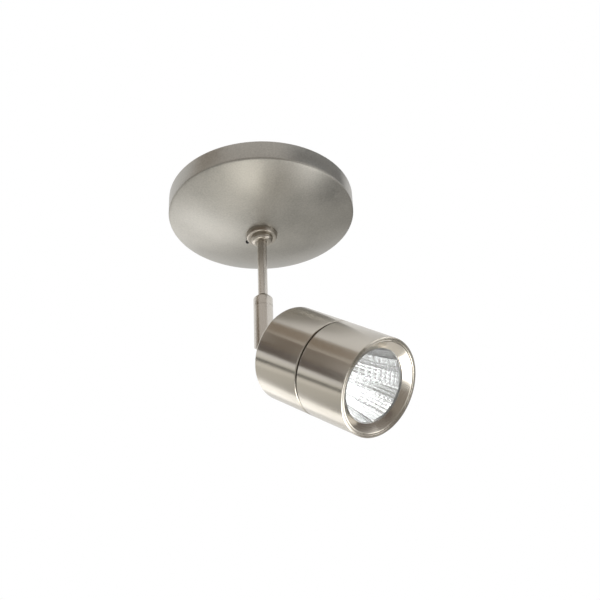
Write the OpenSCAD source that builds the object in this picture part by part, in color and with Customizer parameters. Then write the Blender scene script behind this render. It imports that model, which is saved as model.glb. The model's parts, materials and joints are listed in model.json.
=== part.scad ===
// Ceiling spotlight on a round canopy: a cylindrical head hangs from a thin stem on a half-lap knuckle.
// The origin is the centre of the ceiling plane, +Z is up, and the head points along +X, tilted down.
// The head's own pieces are drawn along a local +Z axis that starts at the knuckle's pivot.

/* [Canopy] */
// Outside diameter of the canopy
canopy_d = 127; // [116:0.5:140]
// Height of the straight rim band
canopy_rim_h = 14; // [10:0.5:17]
// Depth of the canopy from the ceiling to its flat centre
canopy_depth = 28.4; // [26:0.2:34]
// Sheet thickness of the spun shell
canopy_wall = 1.2; // [0.8:0.1:1.6]
// Rounding between the rim band and the dome
canopy_edge_r = 1.6; // [0.8:0.1:3]

/* [Collar and ferrule] */
// Collar diameter where it meets the canopy
collar_d = 21.4; // [20.4:0.2:26]
// Collar diameter at its lower face
collar_face_d = 19.8; // [18.6:0.2:20.4]
// Height of the collar
collar_h = 3.5; // [3.1:0.1:6]
// Diameter of the collar's set screw
set_screw_d = 2.5; // [2:0.1:2.8]
// How far the set screw stands out from the collar
set_screw_proud = 1.9; // [0.5:0.1:3]
// Bearing of the set screw round the stem, from the head's direction
set_screw_bearing = 188; // [0:1:359]
// Outside diameter of the swivel ferrule
ferrule_d = 14.6; // [13.4:0.2:16]
// How far the ferrule shows below the collar
ferrule_drop = 3.4; // [2.8:0.1:6]
// Thickness of the ferrule's floor, which carries the stem
ferrule_floor = 3.2; // [2.6:0.1:5]

/* [Stem] */
// Outside diameter of the stem tube
stem_d = 6.35; // [6:0.05:6.6]
// Bore of the stem tube
stem_bore_d = 4.35; // [4:0.05:5]
// Depth of the tilt pivot below the ceiling
pivot_drop = 113.5; // [108:0.5:180]
// Diameter of the cable inside the stem
cable_d = 3.4; // [2.6:0.1:3.7]

/* [Knuckle] */
// Diameter of the knuckle
knuckle_d = 12.7; // [12:0.1:16]
// Length of the knuckle from its top to the pivot
knuckle_len = 35.3; // [30:0.1:40]
// Height of the cap that locks the stem
cap_h = 9.3; // [8:0.1:12]
// Height of the cap's tapered shoulder
cap_taper_h = 2.7; // [1.5:0.1:3.4]
// Space between the two half laps, filled by the friction washer
lap_gap = 0.5; // [0.3:0.1:1]
// Diameter of the pivot screw
pivot_screw_d = 4; // [3:0.1:4.4]

/* [Head] */
// Outside diameter of the head
head_d = 60; // [56:0.5:70]
// Length of the head from its rear face to its front rim
head_len = 77; // [74:0.5:100]
// Length of the rear housing
rear_len = 37.8; // [36:0.2:45]
// Width of the groove between the two halves of the head
groove_w = 1.2; // [0.6:0.1:3]
// Distance from the tilt pivot to the rear face
head_reach = 27; // [24:0.5:36]
// Angle of the head from straight down
head_tilt = 53.5; // [0:0.5:90]
// Side wall of the rear housing
housing_wall = 2.5; // [2.2:0.1:3.2]
// Back wall of the rear housing
back_wall = 3; // [2.5:0.1:4]
// Rounding of the rear edge
rear_edge_r = 2; // [0.5:0.1:4]
// Turn that frees the front barrel
barrel_turn = 45; // [30:1:60]

/* [Optics] */
// Clear opening of the bezel and the reflector
aperture_d = 45; // [40:0.5:47]
// Depth of the lens behind the front rim
lens_recess = 4; // [3:0.1:6]
// Thickness of the glass lens
lens_t = 2; // [1.5:0.1:3]
// Width of the barrel's front lip
lip_w = 2; // [1.5:0.1:2.6]
// Wall of the reflector
reflector_wall = 1; // [0.6:0.1:1.2]
// Rear opening of the reflector
reflector_neck_d = 15; // [14:0.5:18]

/* [Light engine] */
// Number of heat sink fins
fin_count = 18; // [12:2:18]
// Thickness of a fin
fin_t = 1.4; // [0.8:0.1:1.6]
// Thickness of the heat sink's front plate
sink_plate_t = 5; // [4:0.5:8]
// Side of the square emitter board
board_w = 19; // [16:0.5:20]
// Thickness of the emitter board
board_t = 1.5; // [1:0.1:2]
// Diameter of the light-emitting disc
emitter_d = 12; // [8:0.5:13]
// Diameter of the emitter holder
holder_d = 40; // [37:0.5:44]
// Height of the emitter holder
holder_h = 4.9; // [4.4:0.1:7]

/* [Mounting plate] */
// Thickness of the mounting plate
plate_t = 2; // [1.5:0.1:3]
// Width of the plate's bar
bar_w = 20; // [18:0.5:24]
// Distance between the two ceiling box screws
box_screw_spacing = 88.9; // [84:0.1:90]
// Width of a ceiling box screw slot
slot_w = 4.8; // [4.4:0.1:6]
// Length of a ceiling box screw slot, end to end
slot_len = 14; // [8:0.5:16]
// Outside diameter of the threaded nipple
nipple_d = 10; // [9.6:0.1:10.4]
// Bore of the threaded nipple
nipple_bore_d = 6.8; // [6:0.1:7]

/* [Driver] */
// Length of the driver case
driver_len = 56; // [48:0.5:60]
// Width of the driver case
driver_w = 26; // [22:0.5:28]
// Height of the driver case with its cover
driver_h = 13; // [11:0.5:14]
// Wall of the driver case
driver_wall = 1.5; // [1:0.1:2]
// Length of the terminal block
terminal_len = 26; // [24:0.5:30]
// Width of the terminal block
terminal_w = 14; // [12:0.5:16]
// Height of the terminal block
terminal_h = 9; // [8:0.5:11]

/* [Hidden] */
$fn = 96;
eps = 0.01;
// Steps along a rounded edge and along a long curve
edge_steps = 6;
curve_steps = 24;
// Radial clearances: a screwed or pressed seat, a running fit, a free passage
seat_clear = 0.05;
run_clear = 0.06;
free_clear = 0.3;

// Canopy: the dome is part of a sphere through the rim edge and the edge of the flat centre
canopy_r = canopy_d / 2;
collar_r = collar_d / 2;
ferrule_r = ferrule_d / 2;
flat_margin = 0.6;
flat_r = collar_r + flat_margin;
canopy_hole_r = ferrule_r + free_clear;
dome_h = canopy_depth - canopy_rim_h;
dome_cz = ((canopy_r * canopy_r - flat_r * flat_r) / dome_h - canopy_depth - canopy_rim_h) / 2;
dome_r = norm([flat_r, dome_cz + canopy_depth]);
min_edge_r = 0.2;

// Collar and set screw
collar_z = -canopy_depth - collar_h;
collar_chamfer = 0.4;
set_screw_z = -canopy_depth - collar_h / 2;
set_screw_tip_gap = 0.15;
set_screw_end = (collar_r + collar_face_d / 2) / 2 + set_screw_proud;

// Ferrule, pan bearing and nipple, from the ferrule's lower end upwards
ferrule_z = collar_z - ferrule_drop;
ferrule_round_r = 2.6;
pan_washer_t = 0.5;
flange_t = 1.5;
stop_h = 1.2;
stop_gap = 0.4;
ferrule_grip = 8;
nipple_r = nipple_d / 2;
nipple_bore_r = nipple_bore_d / 2;
nipple_top = -0.2;
cavity_z = ferrule_z + ferrule_floor;
flange_z = cavity_z + pan_washer_t;
flange_top = flange_z + flange_t;
nipple_end = flange_top + stop_h + stop_gap;
ferrule_top = nipple_end + ferrule_grip;
flange_r = nipple_r - free_clear;
stop_pin_d = 1;
stop_pin_r = (nipple_r + nipple_bore_r) / 2;
stop_pin_hold = 2.5;
stop_tooth_w = 1.2;
stop_tooth_in = flange_r - 1.1;
lock_washer_t = 0.8;
lock_washer_r = 8.6;
locknut_af = 14;
locknut_h = 3;

// Stem, cap and knuckle
stem_r = stem_d / 2;
knuckle_r = knuckle_d / 2;
cap_top = -pivot_drop + knuckle_len;
seam_z = cap_top - cap_h;
cap_lip = 0.4;
spigot_wall = 1.5;
spigot_r = stem_r + spigot_wall;
spigot_h = 4.6;
socket_depth = 5;
stem_end = seam_z - socket_depth;
cable_top = nipple_top - 1;
cable_tail = 2;
cable_end = stem_end - cable_tail;
lap_clear = 0.5;
shoulder = knuckle_r + lap_clear;
lead_way_r = 1.4;
lead_way_y = 2.2;
// The pivot screw enters the lower lap from +Y, and its thread ends under the skin of the upper lap
screw_head_d = pivot_screw_d * 1.7;
screw_head_h = pivot_screw_d * 0.62;
screw_head_sink = 0.35;
tension_washer_t = 0.6;
screw_seat_y = knuckle_r - screw_head_sink - screw_head_h;
washer_seat_y = screw_seat_y - tension_washer_t;
lap_skin = 1.6;
screw_tip_gap = 0.4;
pivot_hole_y = knuckle_r - lap_skin;
friction_washer_edge = 1.1;
friction_washer_r = knuckle_r - friction_washer_edge;

// Head, measured along its axis from the pivot
head_r = head_d / 2;
s_rear = head_reach;
s_front = s_rear + head_len;
s_groove = s_rear + rear_len;
s_barrel = s_groove + groove_w;
bore_r = head_r - housing_wall;
edge_chamfer = 0.4;
base_flange_r = 11;
base_flange_t = 3;
stud_r = 4;
stud_clear = 0.1;
knuckle_washer_t = 0.8;
knuckle_washer_r = 7.6;
knuckle_nut_af = 13;
knuckle_nut_h = 4;
stud_spare = 1;
s_stud_end = s_rear + back_wall + knuckle_washer_t + knuckle_nut_h + stud_spare;

// Front barrel and its bayonet
spigot_len = 9.5;
spigot_clear = 0.1;
barrel_spigot_r = bore_r - spigot_clear;
barrel_spigot_wall = 2.5;
barrel_spigot_in = barrel_spigot_r - barrel_spigot_wall;
s_spigot = s_barrel - spigot_len;
lug_h = 1.1;
lug_w = 2.4;
lug_angle = 24;
lug_count = 3;
lug_spread = 360 / lug_count;
lug_free_angle = 1.5;
lug_entry_angle = 1;
lug_root = 0.5;
lug_inset = 0.6;
s_lug = s_spigot + lug_inset;
o_ring_d = 1.8;
o_ring_place = 5.4;
s_o_ring = s_spigot + o_ring_place;
barrel_web_t = 3;
lip_edge_r = 0.7;
thread_r = head_r - lip_w;
thread_depth = 0.8;
barrel_bore_r = thread_r - thread_depth;

// Lens, gasket, bezel and reflector
aperture_r = aperture_d / 2;
gasket_t = 0.8;
gasket_w = 1.4;
ledge_t = 1.8;
ledge_clear = 0.7;
ledge_r = aperture_r + reflector_wall + ledge_clear;
s_lens_front = s_front - lens_recess;
s_lens = s_lens_front - lens_t;
s_ledge = s_lens - gasket_t;
lens_r = thread_r - free_clear;
bezel_r = thread_r - seat_clear;
bezel_set_back = 0.3;
bezel_rim_w = 0.7;
bezel_edge_t = 0.25;
reflector_gap = 0.3;
s_reflector_front = s_lens - reflector_gap;

// Light engine
sink_clear = 0.15;
sink_r = bore_r - sink_clear;
s_sink = s_rear + back_wall;
sink_gap = 1.5;
s_sink_front = s_spigot - sink_gap;
hub_r = 11;
hub_overlap = 1;
nut_pocket_r = 9.2;
nut_pocket_depth = 14;
lead_window_h = 8;
lead_d = 1.3;
lead_pitch = 1.4;
lead_bearing_r = 14;
lead_hole_r = 1.9;
thread_spare = 0.5;
sink_screw_d = 3;
sink_screw_pcd_r = 19;
sink_screw_count = 3;
sink_screw_grip = 7;
sink_boss_r = 3.6;
countersink_r = 3;
countersink_h = 1.5;
pad_t = 0.4;
emitter_t = 0.6;
board_free = 0.2;
holder_opening_r = reflector_neck_d / 2;
holder_screw_d = 3;
holder_screw_head_d = 5;
holder_screw_head_h = 1.8;
holder_screw_edge = 3.6;
holder_screw_r = holder_d / 2 - holder_screw_edge;
holder_screw_grip = 3.5;
s_holder_front = s_sink_front + holder_h;
// The reflector is a paraboloid through its neck and its front edge
neck_r = reflector_neck_d / 2;
s_neck = s_holder_front;
bowl_rate = (aperture_r * aperture_r - neck_r * neck_r) / (s_reflector_front - s_neck);
s_vertex = s_neck - neck_r * neck_r / bowl_rate;

// Mounting plate, terminal block and driver
bar_end = 3.5;
bar_len = box_screw_spacing + slot_len + 2 * bar_end;
driver_gap = 3;
driver_y = bar_w / 2 + driver_gap;
ear_w = 7;
ear_t = 2.5;
ear_root = driver_wall / 2;
ear_screw_d = 3;
ear_screw_head_d = 5.4;
ear_screw_head_h = 2;
ear_x = driver_len / 2 + ear_w / 2;
ear_y = driver_y + driver_w / 2;
tab_margin = 1;
tab_overlap = 4;
driver_tab_x = driver_len / 2 + ear_w + tab_margin;
driver_tab_y = driver_y + driver_w / 2 + ear_w / 2 + tab_margin;
terminal_y = -bar_w / 2 - driver_gap - terminal_w / 2;
terminal_tab_x = terminal_len / 2 + tab_margin;
terminal_tab_y = terminal_y - terminal_w / 2 - tab_margin;
pole_count = 3;
pole_pitch = terminal_len / (pole_count + 0.6);
pole_hole_r = 1.7;
pole_screw_r = 1.5;
pole_screw_sink = 2;
terminal_screw_d = 3;
terminal_screw_head_d = 5;
terminal_screw_head_h = 2;
terminal_screw_x = pole_pitch / 2;
ground_screw_d = 4;
ground_screw_head_d = 8;
ground_screw_head_h = 2.4;
ground_screw_x = -24;
cover_t = 1.5;
cover_free = 0.15;
cover_rib_h = 0.6;
circuit_board_t = 1.6;
circuit_board_free = 0.5;
circuit_top_gap = 0.2;
board_post_r = 2;
board_post_h = 2.5;
board_post_inset = 3.4;

// Shared shapes

// Points along an arc in the plane of a profile
function arc(centre, r, from, to, steps) =
  [for (i = [0:steps]) centre + r * [cos(from + (to - from) * i / steps), sin(from + (to - from) * i / steps)]];

// Flat washer or ring standing on its lower face
module ring(outer, inner, h) {
  difference() {
    cylinder(r = outer, h = h);
    translate([0, 0, -eps]) cylinder(r = inner, h = h + 2 * eps);
  }
}

// Hexagonal prism by its width across flats
module hexagon(af, h) {
  cylinder(d = af / cos(30), h = h, $fn = 6);
}

// Slot along X, centred, with round ends
module slot(len, width, h) {
  translate([-(len - width) / 2, -width / 2, 0]) cube([len - width, width, h]);
  for (side = [-1, 1]) translate([side * (len - width) / 2, 0, 0]) cylinder(d = width, h = h);
}

// Sector of a ring, from a bearing over an angle
module ring_sector(outer, inner, h, from, angle) {
  rotate([0, 0, from]) rotate_extrude(angle = angle)
    translate([inner, 0]) square([outer - inner, h]);
}

// Screw standing on its head's seat: the head is above, with a cross recess, and the shank below
module pan_screw(d, grip, head_d, head_h, recess_depth) {
  difference() {
    union() {
      cylinder(d = head_d, h = head_h);
      translate([0, 0, -grip]) cylinder(d = d, h = grip + eps);
    }
    translate([0, 0, head_h - recess_depth]) cross_recess(head_d * 0.6, head_d * 0.14, recess_depth + eps);
  }
}

// Cross recess for a screwdriver
module cross_recess(len, width, depth) {
  for (turn = [0, 90]) rotate([0, 0, turn])
    translate([-len / 2, -width / 2, 0]) cube([len, width, depth]);
}

// Places children at the tilt pivot, with local +Z along the head's axis
module at_head() {
  translate([0, 0, -pivot_drop]) rotate([0, 180 - head_tilt, 0]) children();
}

// Places children with local +Z along +Y, so that a cylinder lies on the tilt pivot's axis
module along_pivot() {
  rotate([-90, 0, 0]) children();
}

// Half lap round the pivot: a rounded tongue of the knuckle's section that reaches up to the shoulder.
// The side is -1 for the half towards -Y and 1 for the half towards +Y.
module half_lap(side) {
  intersection() {
    union() {
      along_pivot() translate([0, 0, -knuckle_r]) cylinder(r = knuckle_r, h = 2 * knuckle_r);
      translate([-knuckle_r, -knuckle_r, 0]) cube([2 * knuckle_r, 2 * knuckle_r, shoulder + eps]);
    }
    translate([0, 0, -knuckle_r]) cylinder(r = knuckle_r, h = knuckle_r + shoulder + eps);
    translate([-knuckle_r, side > 0 ? lap_gap / 2 : -lap_gap / 2 - knuckle_r, -knuckle_r])
      cube([2 * knuckle_r, knuckle_r, knuckle_r + shoulder + 2 * eps]);
  }
}

// Ceiling mount

// Stamped plate: the bar that spans the ceiling box, with a tab for the driver and one for the terminals
module mounting_plate() {
  color("lightgray") difference() {
    translate([0, 0, -plate_t]) union() {
      slot(bar_len, bar_w, plate_t);
      translate([-driver_tab_x, bar_w / 2 - tab_overlap, 0])
        cube([2 * driver_tab_x, driver_tab_y - bar_w / 2 + tab_overlap, plate_t]);
      translate([-terminal_tab_x, terminal_tab_y, 0])
        cube([2 * terminal_tab_x, -terminal_tab_y - bar_w / 2 + tab_overlap, plate_t]);
    }
    translate([0, 0, -plate_t - eps]) {
      cylinder(r = nipple_r + seat_clear, h = plate_t + 2 * eps);
      for (side = [-1, 1]) translate([side * box_screw_spacing / 2, 0, 0])
        slot(slot_len, slot_w, plate_t + 2 * eps);
      for (side = [-1, 1]) translate([side * ear_x, ear_y, 0])
        cylinder(r = ear_screw_d / 2 + seat_clear, h = plate_t + 2 * eps);
      translate([terminal_screw_x, terminal_y, 0])
        cylinder(r = terminal_screw_d / 2 + seat_clear, h = plate_t + 2 * eps);
      translate([ground_screw_x, 0, 0]) cylinder(r = ground_screw_d / 2 + seat_clear, h = plate_t + 2 * eps);
    }
  }
}

module lock_washer() {
  color("silver") translate([0, 0, -plate_t - lock_washer_t])
    ring(lock_washer_r, nipple_r + seat_clear, lock_washer_t);
}

module locknut() {
  color("goldenrod") translate([0, 0, -plate_t - lock_washer_t - locknut_h]) difference() {
    hexagon(locknut_af, locknut_h);
    translate([0, 0, -eps]) cylinder(r = nipple_r + seat_clear, h = locknut_h + 2 * eps);
  }
}

// Hollow threaded pipe from the plate down to the ferrule, with a hole for the pan stop pin
module threaded_nipple() {
  color("goldenrod") difference() {
    translate([0, 0, nipple_end]) ring(nipple_r, nipple_bore_r, nipple_top - nipple_end);
    translate([-stop_pin_r, 0, nipple_end - eps])
      cylinder(r = stop_pin_d / 2 + seat_clear / 2, h = stop_pin_hold + eps);
  }
}

module ground_screw() {
  color("green") translate([ground_screw_x, 0, -plate_t]) rotate([180, 0, 0])
    pan_screw(ground_screw_d, plate_t, ground_screw_head_d, ground_screw_head_h, ground_screw_head_h / 2);
}

// Driver case: open below, with ears that screw to the plate and posts for the circuit board
module driver_case() {
  case_h = driver_h - cover_t;
  color("white") translate([0, driver_y + driver_w / 2, -plate_t]) rotate([180, 0, 0]) union() {
    difference() {
      translate([-driver_len / 2, -driver_w / 2, 0]) cube([driver_len, driver_w, case_h]);
      translate([-driver_len / 2 + driver_wall, -driver_w / 2 + driver_wall, driver_wall])
        cube([driver_len - 2 * driver_wall, driver_w - 2 * driver_wall, case_h]);
    }
    for (side = [-1, 1]) difference() {
      translate([side * (ear_x - ear_root / 2) - (ear_w + ear_root) / 2, -ear_w / 2, 0])
        cube([ear_w + ear_root, ear_w, ear_t]);
      translate([side * ear_x, 0, -eps]) cylinder(r = ear_screw_d / 2 + seat_clear, h = ear_t + 2 * eps);
    }
    for (x = [-1, 1], y = [-1, 1])
      translate([x * (driver_len / 2 - board_post_inset), y * (driver_w / 2 - board_post_inset), driver_wall - eps])
        cylinder(r = board_post_r, h = board_post_h + eps);
  }
}

// Circuit board on the posts, with a transformer, a capacitor and a row of small parts
module driver_circuit() {
  board_len = driver_len - 2 * (driver_wall + circuit_board_free);
  board_width = driver_w - 2 * (driver_wall + circuit_board_free);
  room_h = driver_h - cover_t - cover_rib_h - driver_wall - board_post_h;
  part_h = room_h - circuit_board_t - circuit_top_gap;
  color("darkgreen") translate([0, driver_y + driver_w / 2, -plate_t]) rotate([180, 0, 0])
    translate([0, 0, driver_wall + board_post_h]) union() {
      translate([-board_len / 2, -board_width / 2, 0]) cube([board_len, board_width, circuit_board_t]);
      translate([-board_len * 0.1, -board_width * 0.3, circuit_board_t - eps])
        cube([board_len * 0.28, board_width * 0.6, part_h]);
      translate([-board_len * 0.3, 0, circuit_board_t - eps]) cylinder(d = board_width * 0.36, h = part_h);
      for (i = [0:2]) translate([board_len * (0.26 + 0.08 * i), -board_width * 0.25, circuit_board_t - eps])
        cube([board_len * 0.05, board_width * 0.5, part_h / 2]);
    }
}

// Lid with a low rib that locates it inside the case's walls
module driver_cover() {
  rib_inset = driver_wall + cover_free;
  color("white") translate([-driver_len / 2, driver_y, -plate_t - driver_h]) union() {
    cube([driver_len, driver_w, cover_t]);
    translate([rib_inset, rib_inset, cover_t - eps])
      cube([driver_len - 2 * rib_inset, driver_w - 2 * rib_inset, cover_rib_h + eps]);
  }
}

module driver_screws() {
  color("silver") for (side = [-1, 1]) translate([side * ear_x, ear_y, -plate_t - ear_t]) rotate([180, 0, 0])
    pan_screw(ear_screw_d, ear_t + plate_t, ear_screw_head_d, ear_screw_head_h, ear_screw_head_h / 2);
}

// Terminal block with wire entries on both long sides and a screw over each pole
module terminal_block() {
  color("ivory") translate([0, terminal_y, -plate_t]) rotate([180, 0, 0]) difference() {
    translate([-terminal_len / 2, -terminal_w / 2, 0]) cube([terminal_len, terminal_w, terminal_h]);
    for (i = [0:pole_count - 1]) translate([(i - (pole_count - 1) / 2) * pole_pitch, 0, 0]) {
      translate([0, -terminal_w / 2 - eps, terminal_h / 2]) rotate([-90, 0, 0])
        cylinder(r = pole_hole_r, h = terminal_w / 3);
      translate([0, terminal_w / 2 + eps, terminal_h / 2]) rotate([90, 0, 0])
        cylinder(r = pole_hole_r, h = terminal_w / 3);
      translate([0, terminal_w / 4, terminal_h - pole_screw_sink]) cylinder(r = pole_screw_r, h = terminal_h);
    }
    translate([terminal_screw_x, 0, -eps])
      cylinder(r = terminal_screw_d / 2 + seat_clear, h = terminal_h + 2 * eps);
  }
}

module terminal_screw() {
  color("silver") translate([terminal_screw_x, terminal_y, -plate_t - terminal_h]) rotate([180, 0, 0])
    pan_screw(terminal_screw_d, terminal_h + plate_t, terminal_screw_head_d, terminal_screw_head_h, 1);
}

// Ferrule: screws onto the nipple, holds the stem's flange, and ends in a rounded nose round the stem
module swivel_ferrule() {
  bore = nipple_r + seat_clear;
  nose = concat(
    [[ferrule_r, ferrule_top]],
    arc([ferrule_r - ferrule_round_r, ferrule_z + ferrule_round_r], ferrule_round_r, 0, -90, edge_steps),
    [[stem_r + run_clear, ferrule_z], [stem_r + run_clear, cavity_z], [bore, cavity_z], [bore, ferrule_top]]
  );
  color("gainsboro") rotate_extrude() polygon(nose);
}

module pan_washer() {
  color("white") translate([0, 0, cavity_z]) ring(flange_r, stem_r + run_clear, pan_washer_t);
}

module pan_stop_pin() {
  color("dimgray") translate([-stop_pin_r, 0, nipple_end - stop_h])
    cylinder(d = stop_pin_d, h = stop_h + stop_pin_hold);
}

// Canopy and the collar that holds it up

// One side of the shell's section, at a depth under its outer face: rim, rounded edge, dome and flat centre
function canopy_side(depth) =
  let (
    band_r = canopy_r - depth,
    sphere_r = dome_r - depth,
    edge_r = max(canopy_edge_r - depth, min_edge_r),
    edge_cz = dome_cz - sqrt(pow(sphere_r - edge_r, 2) - pow(band_r - edge_r, 2)),
    edge_end = atan2(edge_cz - dome_cz, band_r - edge_r),
    flat_angle = -acos(flat_r / sphere_r)
  )
  concat(
    [[band_r, 0]],
    arc([band_r - edge_r, edge_cz], edge_r, 0, edge_end, edge_steps),
    arc([0, dome_cz], sphere_r, edge_end, flat_angle, curve_steps),
    [[flat_r, depth - canopy_depth], [canopy_hole_r, depth - canopy_depth]]
  );

module canopy() {
  inner = canopy_side(canopy_wall);
  section = concat(canopy_side(0), [for (i = [len(inner) - 1:-1:0]) inner[i]]);
  color("darkgray") rotate_extrude() polygon(section);
}

// Slip ring that slides on the ferrule under the canopy, tapered, with a chamfered lower edge
module collar() {
  bore = ferrule_r + run_clear;
  face_r = collar_face_d / 2;
  section = [
    [bore, -canopy_depth], [collar_r, -canopy_depth], [face_r + collar_chamfer / 2, collar_z + collar_chamfer],
    [face_r - collar_chamfer, collar_z], [bore, collar_z]
  ];
  color("silver") difference() {
    rotate_extrude() polygon(section);
    translate([0, 0, set_screw_z]) rotate([0, 90, set_screw_bearing])
      cylinder(r = set_screw_d / 2 + seat_clear / 2, h = collar_r + 1);
  }
}

// Grub screw with a hexagon socket in its outer end
module collar_set_screw() {
  tip_r = ferrule_r + set_screw_tip_gap;
  socket_af = set_screw_d * 0.5;
  color("dimgray") translate([0, 0, set_screw_z]) rotate([0, 90, set_screw_bearing]) difference() {
    translate([0, 0, tip_r]) cylinder(d = set_screw_d, h = set_screw_end - tip_r);
    translate([0, 0, set_screw_end - set_screw_d * 0.6]) hexagon(socket_af, set_screw_d);
  }
}

// Stem and upper knuckle, which turn together

// Tube with a flange that runs in the ferrule and a tooth that meets the stop pin
module stem() {
  color("silver") difference() {
    union() {
      translate([0, 0, stem_end]) cylinder(r = stem_r, h = flange_top - stem_end);
      translate([0, 0, flange_z]) cylinder(r = flange_r, h = flange_t);
      intersection() {
        translate([0, 0, flange_top - eps]) ring(flange_r, stop_tooth_in, stop_h + eps);
        translate([0, -stop_tooth_w / 2, flange_top - eps]) cube([flange_r, stop_tooth_w, stop_h + eps]);
      }
    }
    translate([0, 0, stem_end - eps]) cylinder(d = stem_bore_d, h = flange_top - stem_end + 2 * eps);
  }
}

module stem_cable() {
  color("white") translate([0, 0, cable_end]) cylinder(d = cable_d, h = cable_top - cable_end);
}

// Cap with a tapered shoulder that screws down over the knuckle's spigot and grips the stem
module stem_cap() {
  bore = stem_r + seat_clear;
  section = [
    [bore, cap_top], [stem_r + cap_lip, cap_top], [knuckle_r, cap_top - cap_taper_h], [knuckle_r, seam_z],
    [spigot_r + seat_clear, seam_z], [spigot_r + seat_clear, seam_z + spigot_h + free_clear],
    [bore, seam_z + spigot_h + free_clear]
  ];
  color("silver") rotate_extrude() polygon(section);
}

// Knuckle body on the stem: a full round down to the shoulder, then the half lap on the -Y side
module upper_knuckle() {
  shoulder_z = -pivot_drop + shoulder;
  color("silver") difference() {
    union() {
      translate([0, 0, shoulder_z]) cylinder(r = knuckle_r, h = seam_z - shoulder_z);
      translate([0, 0, seam_z - eps]) cylinder(r = spigot_r, h = spigot_h + eps);
      translate([0, 0, -pivot_drop]) half_lap(-1);
    }
    translate([0, 0, stem_end]) cylinder(r = stem_r + seat_clear, h = knuckle_len);
    translate([0, 0, cable_end - 1]) cylinder(r = cable_d / 2 + free_clear, h = knuckle_len);
    translate([0, lead_way_y, shoulder_z - eps]) cylinder(r = lead_way_r, h = cable_end - shoulder_z);
    translate([0, 0, -pivot_drop]) along_pivot() translate([0, 0, -pivot_hole_y])
      cylinder(r = pivot_screw_d / 2 + seat_clear, h = knuckle_r);
  }
}

// Socket screw: its head sits in the lower lap and its thread ends in the upper lap
module pivot_screw() {
  socket_af = screw_head_d * 0.45;
  tip_y = -pivot_hole_y + screw_tip_gap;
  color("gray") translate([0, 0, -pivot_drop]) along_pivot() difference() {
    union() {
      translate([0, 0, screw_seat_y]) cylinder(d = screw_head_d, h = screw_head_h);
      translate([0, 0, tip_y]) cylinder(d = pivot_screw_d, h = screw_seat_y - tip_y + eps);
    }
    translate([0, 0, screw_seat_y + screw_head_h * 0.4]) hexagon(socket_af, screw_head_h);
  }
}

module friction_washer() {
  color("white") translate([0, -lap_gap / 2, -pivot_drop]) along_pivot()
    ring(friction_washer_r, pivot_screw_d / 2 + run_clear, lap_gap - run_clear);
}

// Lower knuckle and head, which tilt together

// Lower lap on the +Y side, a round neck, a flange against the head and a threaded stud through its back wall
module lower_knuckle() {
  color("silver") at_head() difference() {
    union() {
      half_lap(1);
      translate([0, 0, shoulder]) cylinder(r = knuckle_r, h = s_rear - shoulder);
      translate([0, 0, s_rear - base_flange_t]) cylinder(r = base_flange_r, h = base_flange_t);
      translate([0, 0, s_rear - eps]) cylinder(r = stud_r, h = s_stud_end - s_rear + eps);
    }
    translate([0, -lead_way_y, shoulder - eps]) cylinder(r = lead_way_r, h = s_stud_end);
    along_pivot() {
      cylinder(r = pivot_screw_d / 2 + run_clear, h = knuckle_d);
      translate([0, 0, washer_seat_y]) cylinder(d = screw_head_d + 2 * free_clear, h = knuckle_r);
    }
  }
}

// Spring washer under the pivot screw's head, which keeps the laps pressed together
module tension_washer() {
  color("gray") at_head() along_pivot() translate([0, 0, washer_seat_y])
    ring(screw_head_d / 2, pivot_screw_d / 2 + run_clear, tension_washer_t - run_clear);
}

module knuckle_washer() {
  color("silver") at_head() translate([0, 0, s_rear + back_wall])
    ring(knuckle_washer_r, stud_r + stud_clear, knuckle_washer_t);
}

module knuckle_nut() {
  color("silver") at_head() translate([0, 0, s_rear + back_wall + knuckle_washer_t]) difference() {
    hexagon(knuckle_nut_af, knuckle_nut_h);
    translate([0, 0, -eps]) cylinder(r = stud_r + seat_clear, h = knuckle_nut_h + 2 * eps);
  }
}

// Places one child at each heat sink screw on the rear face
module at_sink_screws() {
  for (i = [0:sink_screw_count - 1]) rotate([0, 0, 180 + 360 / sink_screw_count * i])
    translate([sink_screw_pcd_r, 0, 0]) children();
}

// Hole through the back wall for a heat sink screw, with a conical seat for its head
module countersunk_hole() {
  hole_r = sink_screw_d / 2 + seat_clear;
  section = [
    [0, -eps], [countersink_r + seat_clear, -eps], [hole_r, countersink_h], [hole_r, back_wall + eps],
    [0, back_wall + eps]
  ];
  rotate_extrude() polygon(section);
}

// Turned cup with a rounded rear edge; the bayonet slots are cut into its bore
module rear_housing() {
  section = concat(
    [[stud_r + stud_clear, s_rear]],
    arc([head_r - rear_edge_r, s_rear + rear_edge_r], rear_edge_r, -90, 0, edge_steps),
    [[head_r, s_groove - edge_chamfer], [head_r - edge_chamfer, s_groove], [bore_r, s_groove],
     [bore_r, s_rear + back_wall], [stud_r + stud_clear, s_rear + back_wall]]
  );
  lug_slot_r = barrel_spigot_r + lug_h + free_clear;
  lug_slot_in = barrel_spigot_r - lug_root;
  color("silver") at_head() difference() {
    rotate_extrude() polygon(section);
    for (i = [0:lug_count - 1]) {
      translate([0, 0, s_lug - free_clear])
        ring_sector(lug_slot_r, lug_slot_in, lug_w + 2 * free_clear, i * lug_spread - lug_free_angle,
          lug_angle + barrel_turn + 2 * lug_free_angle);
      translate([0, 0, s_lug])
        ring_sector(lug_slot_r - seat_clear, lug_slot_in, s_barrel - s_lug,
          i * lug_spread + barrel_turn - lug_entry_angle, lug_angle + 2 * lug_entry_angle);
    }
    at_sink_screws() translate([0, 0, s_rear]) countersunk_hole();
  }
}

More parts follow.
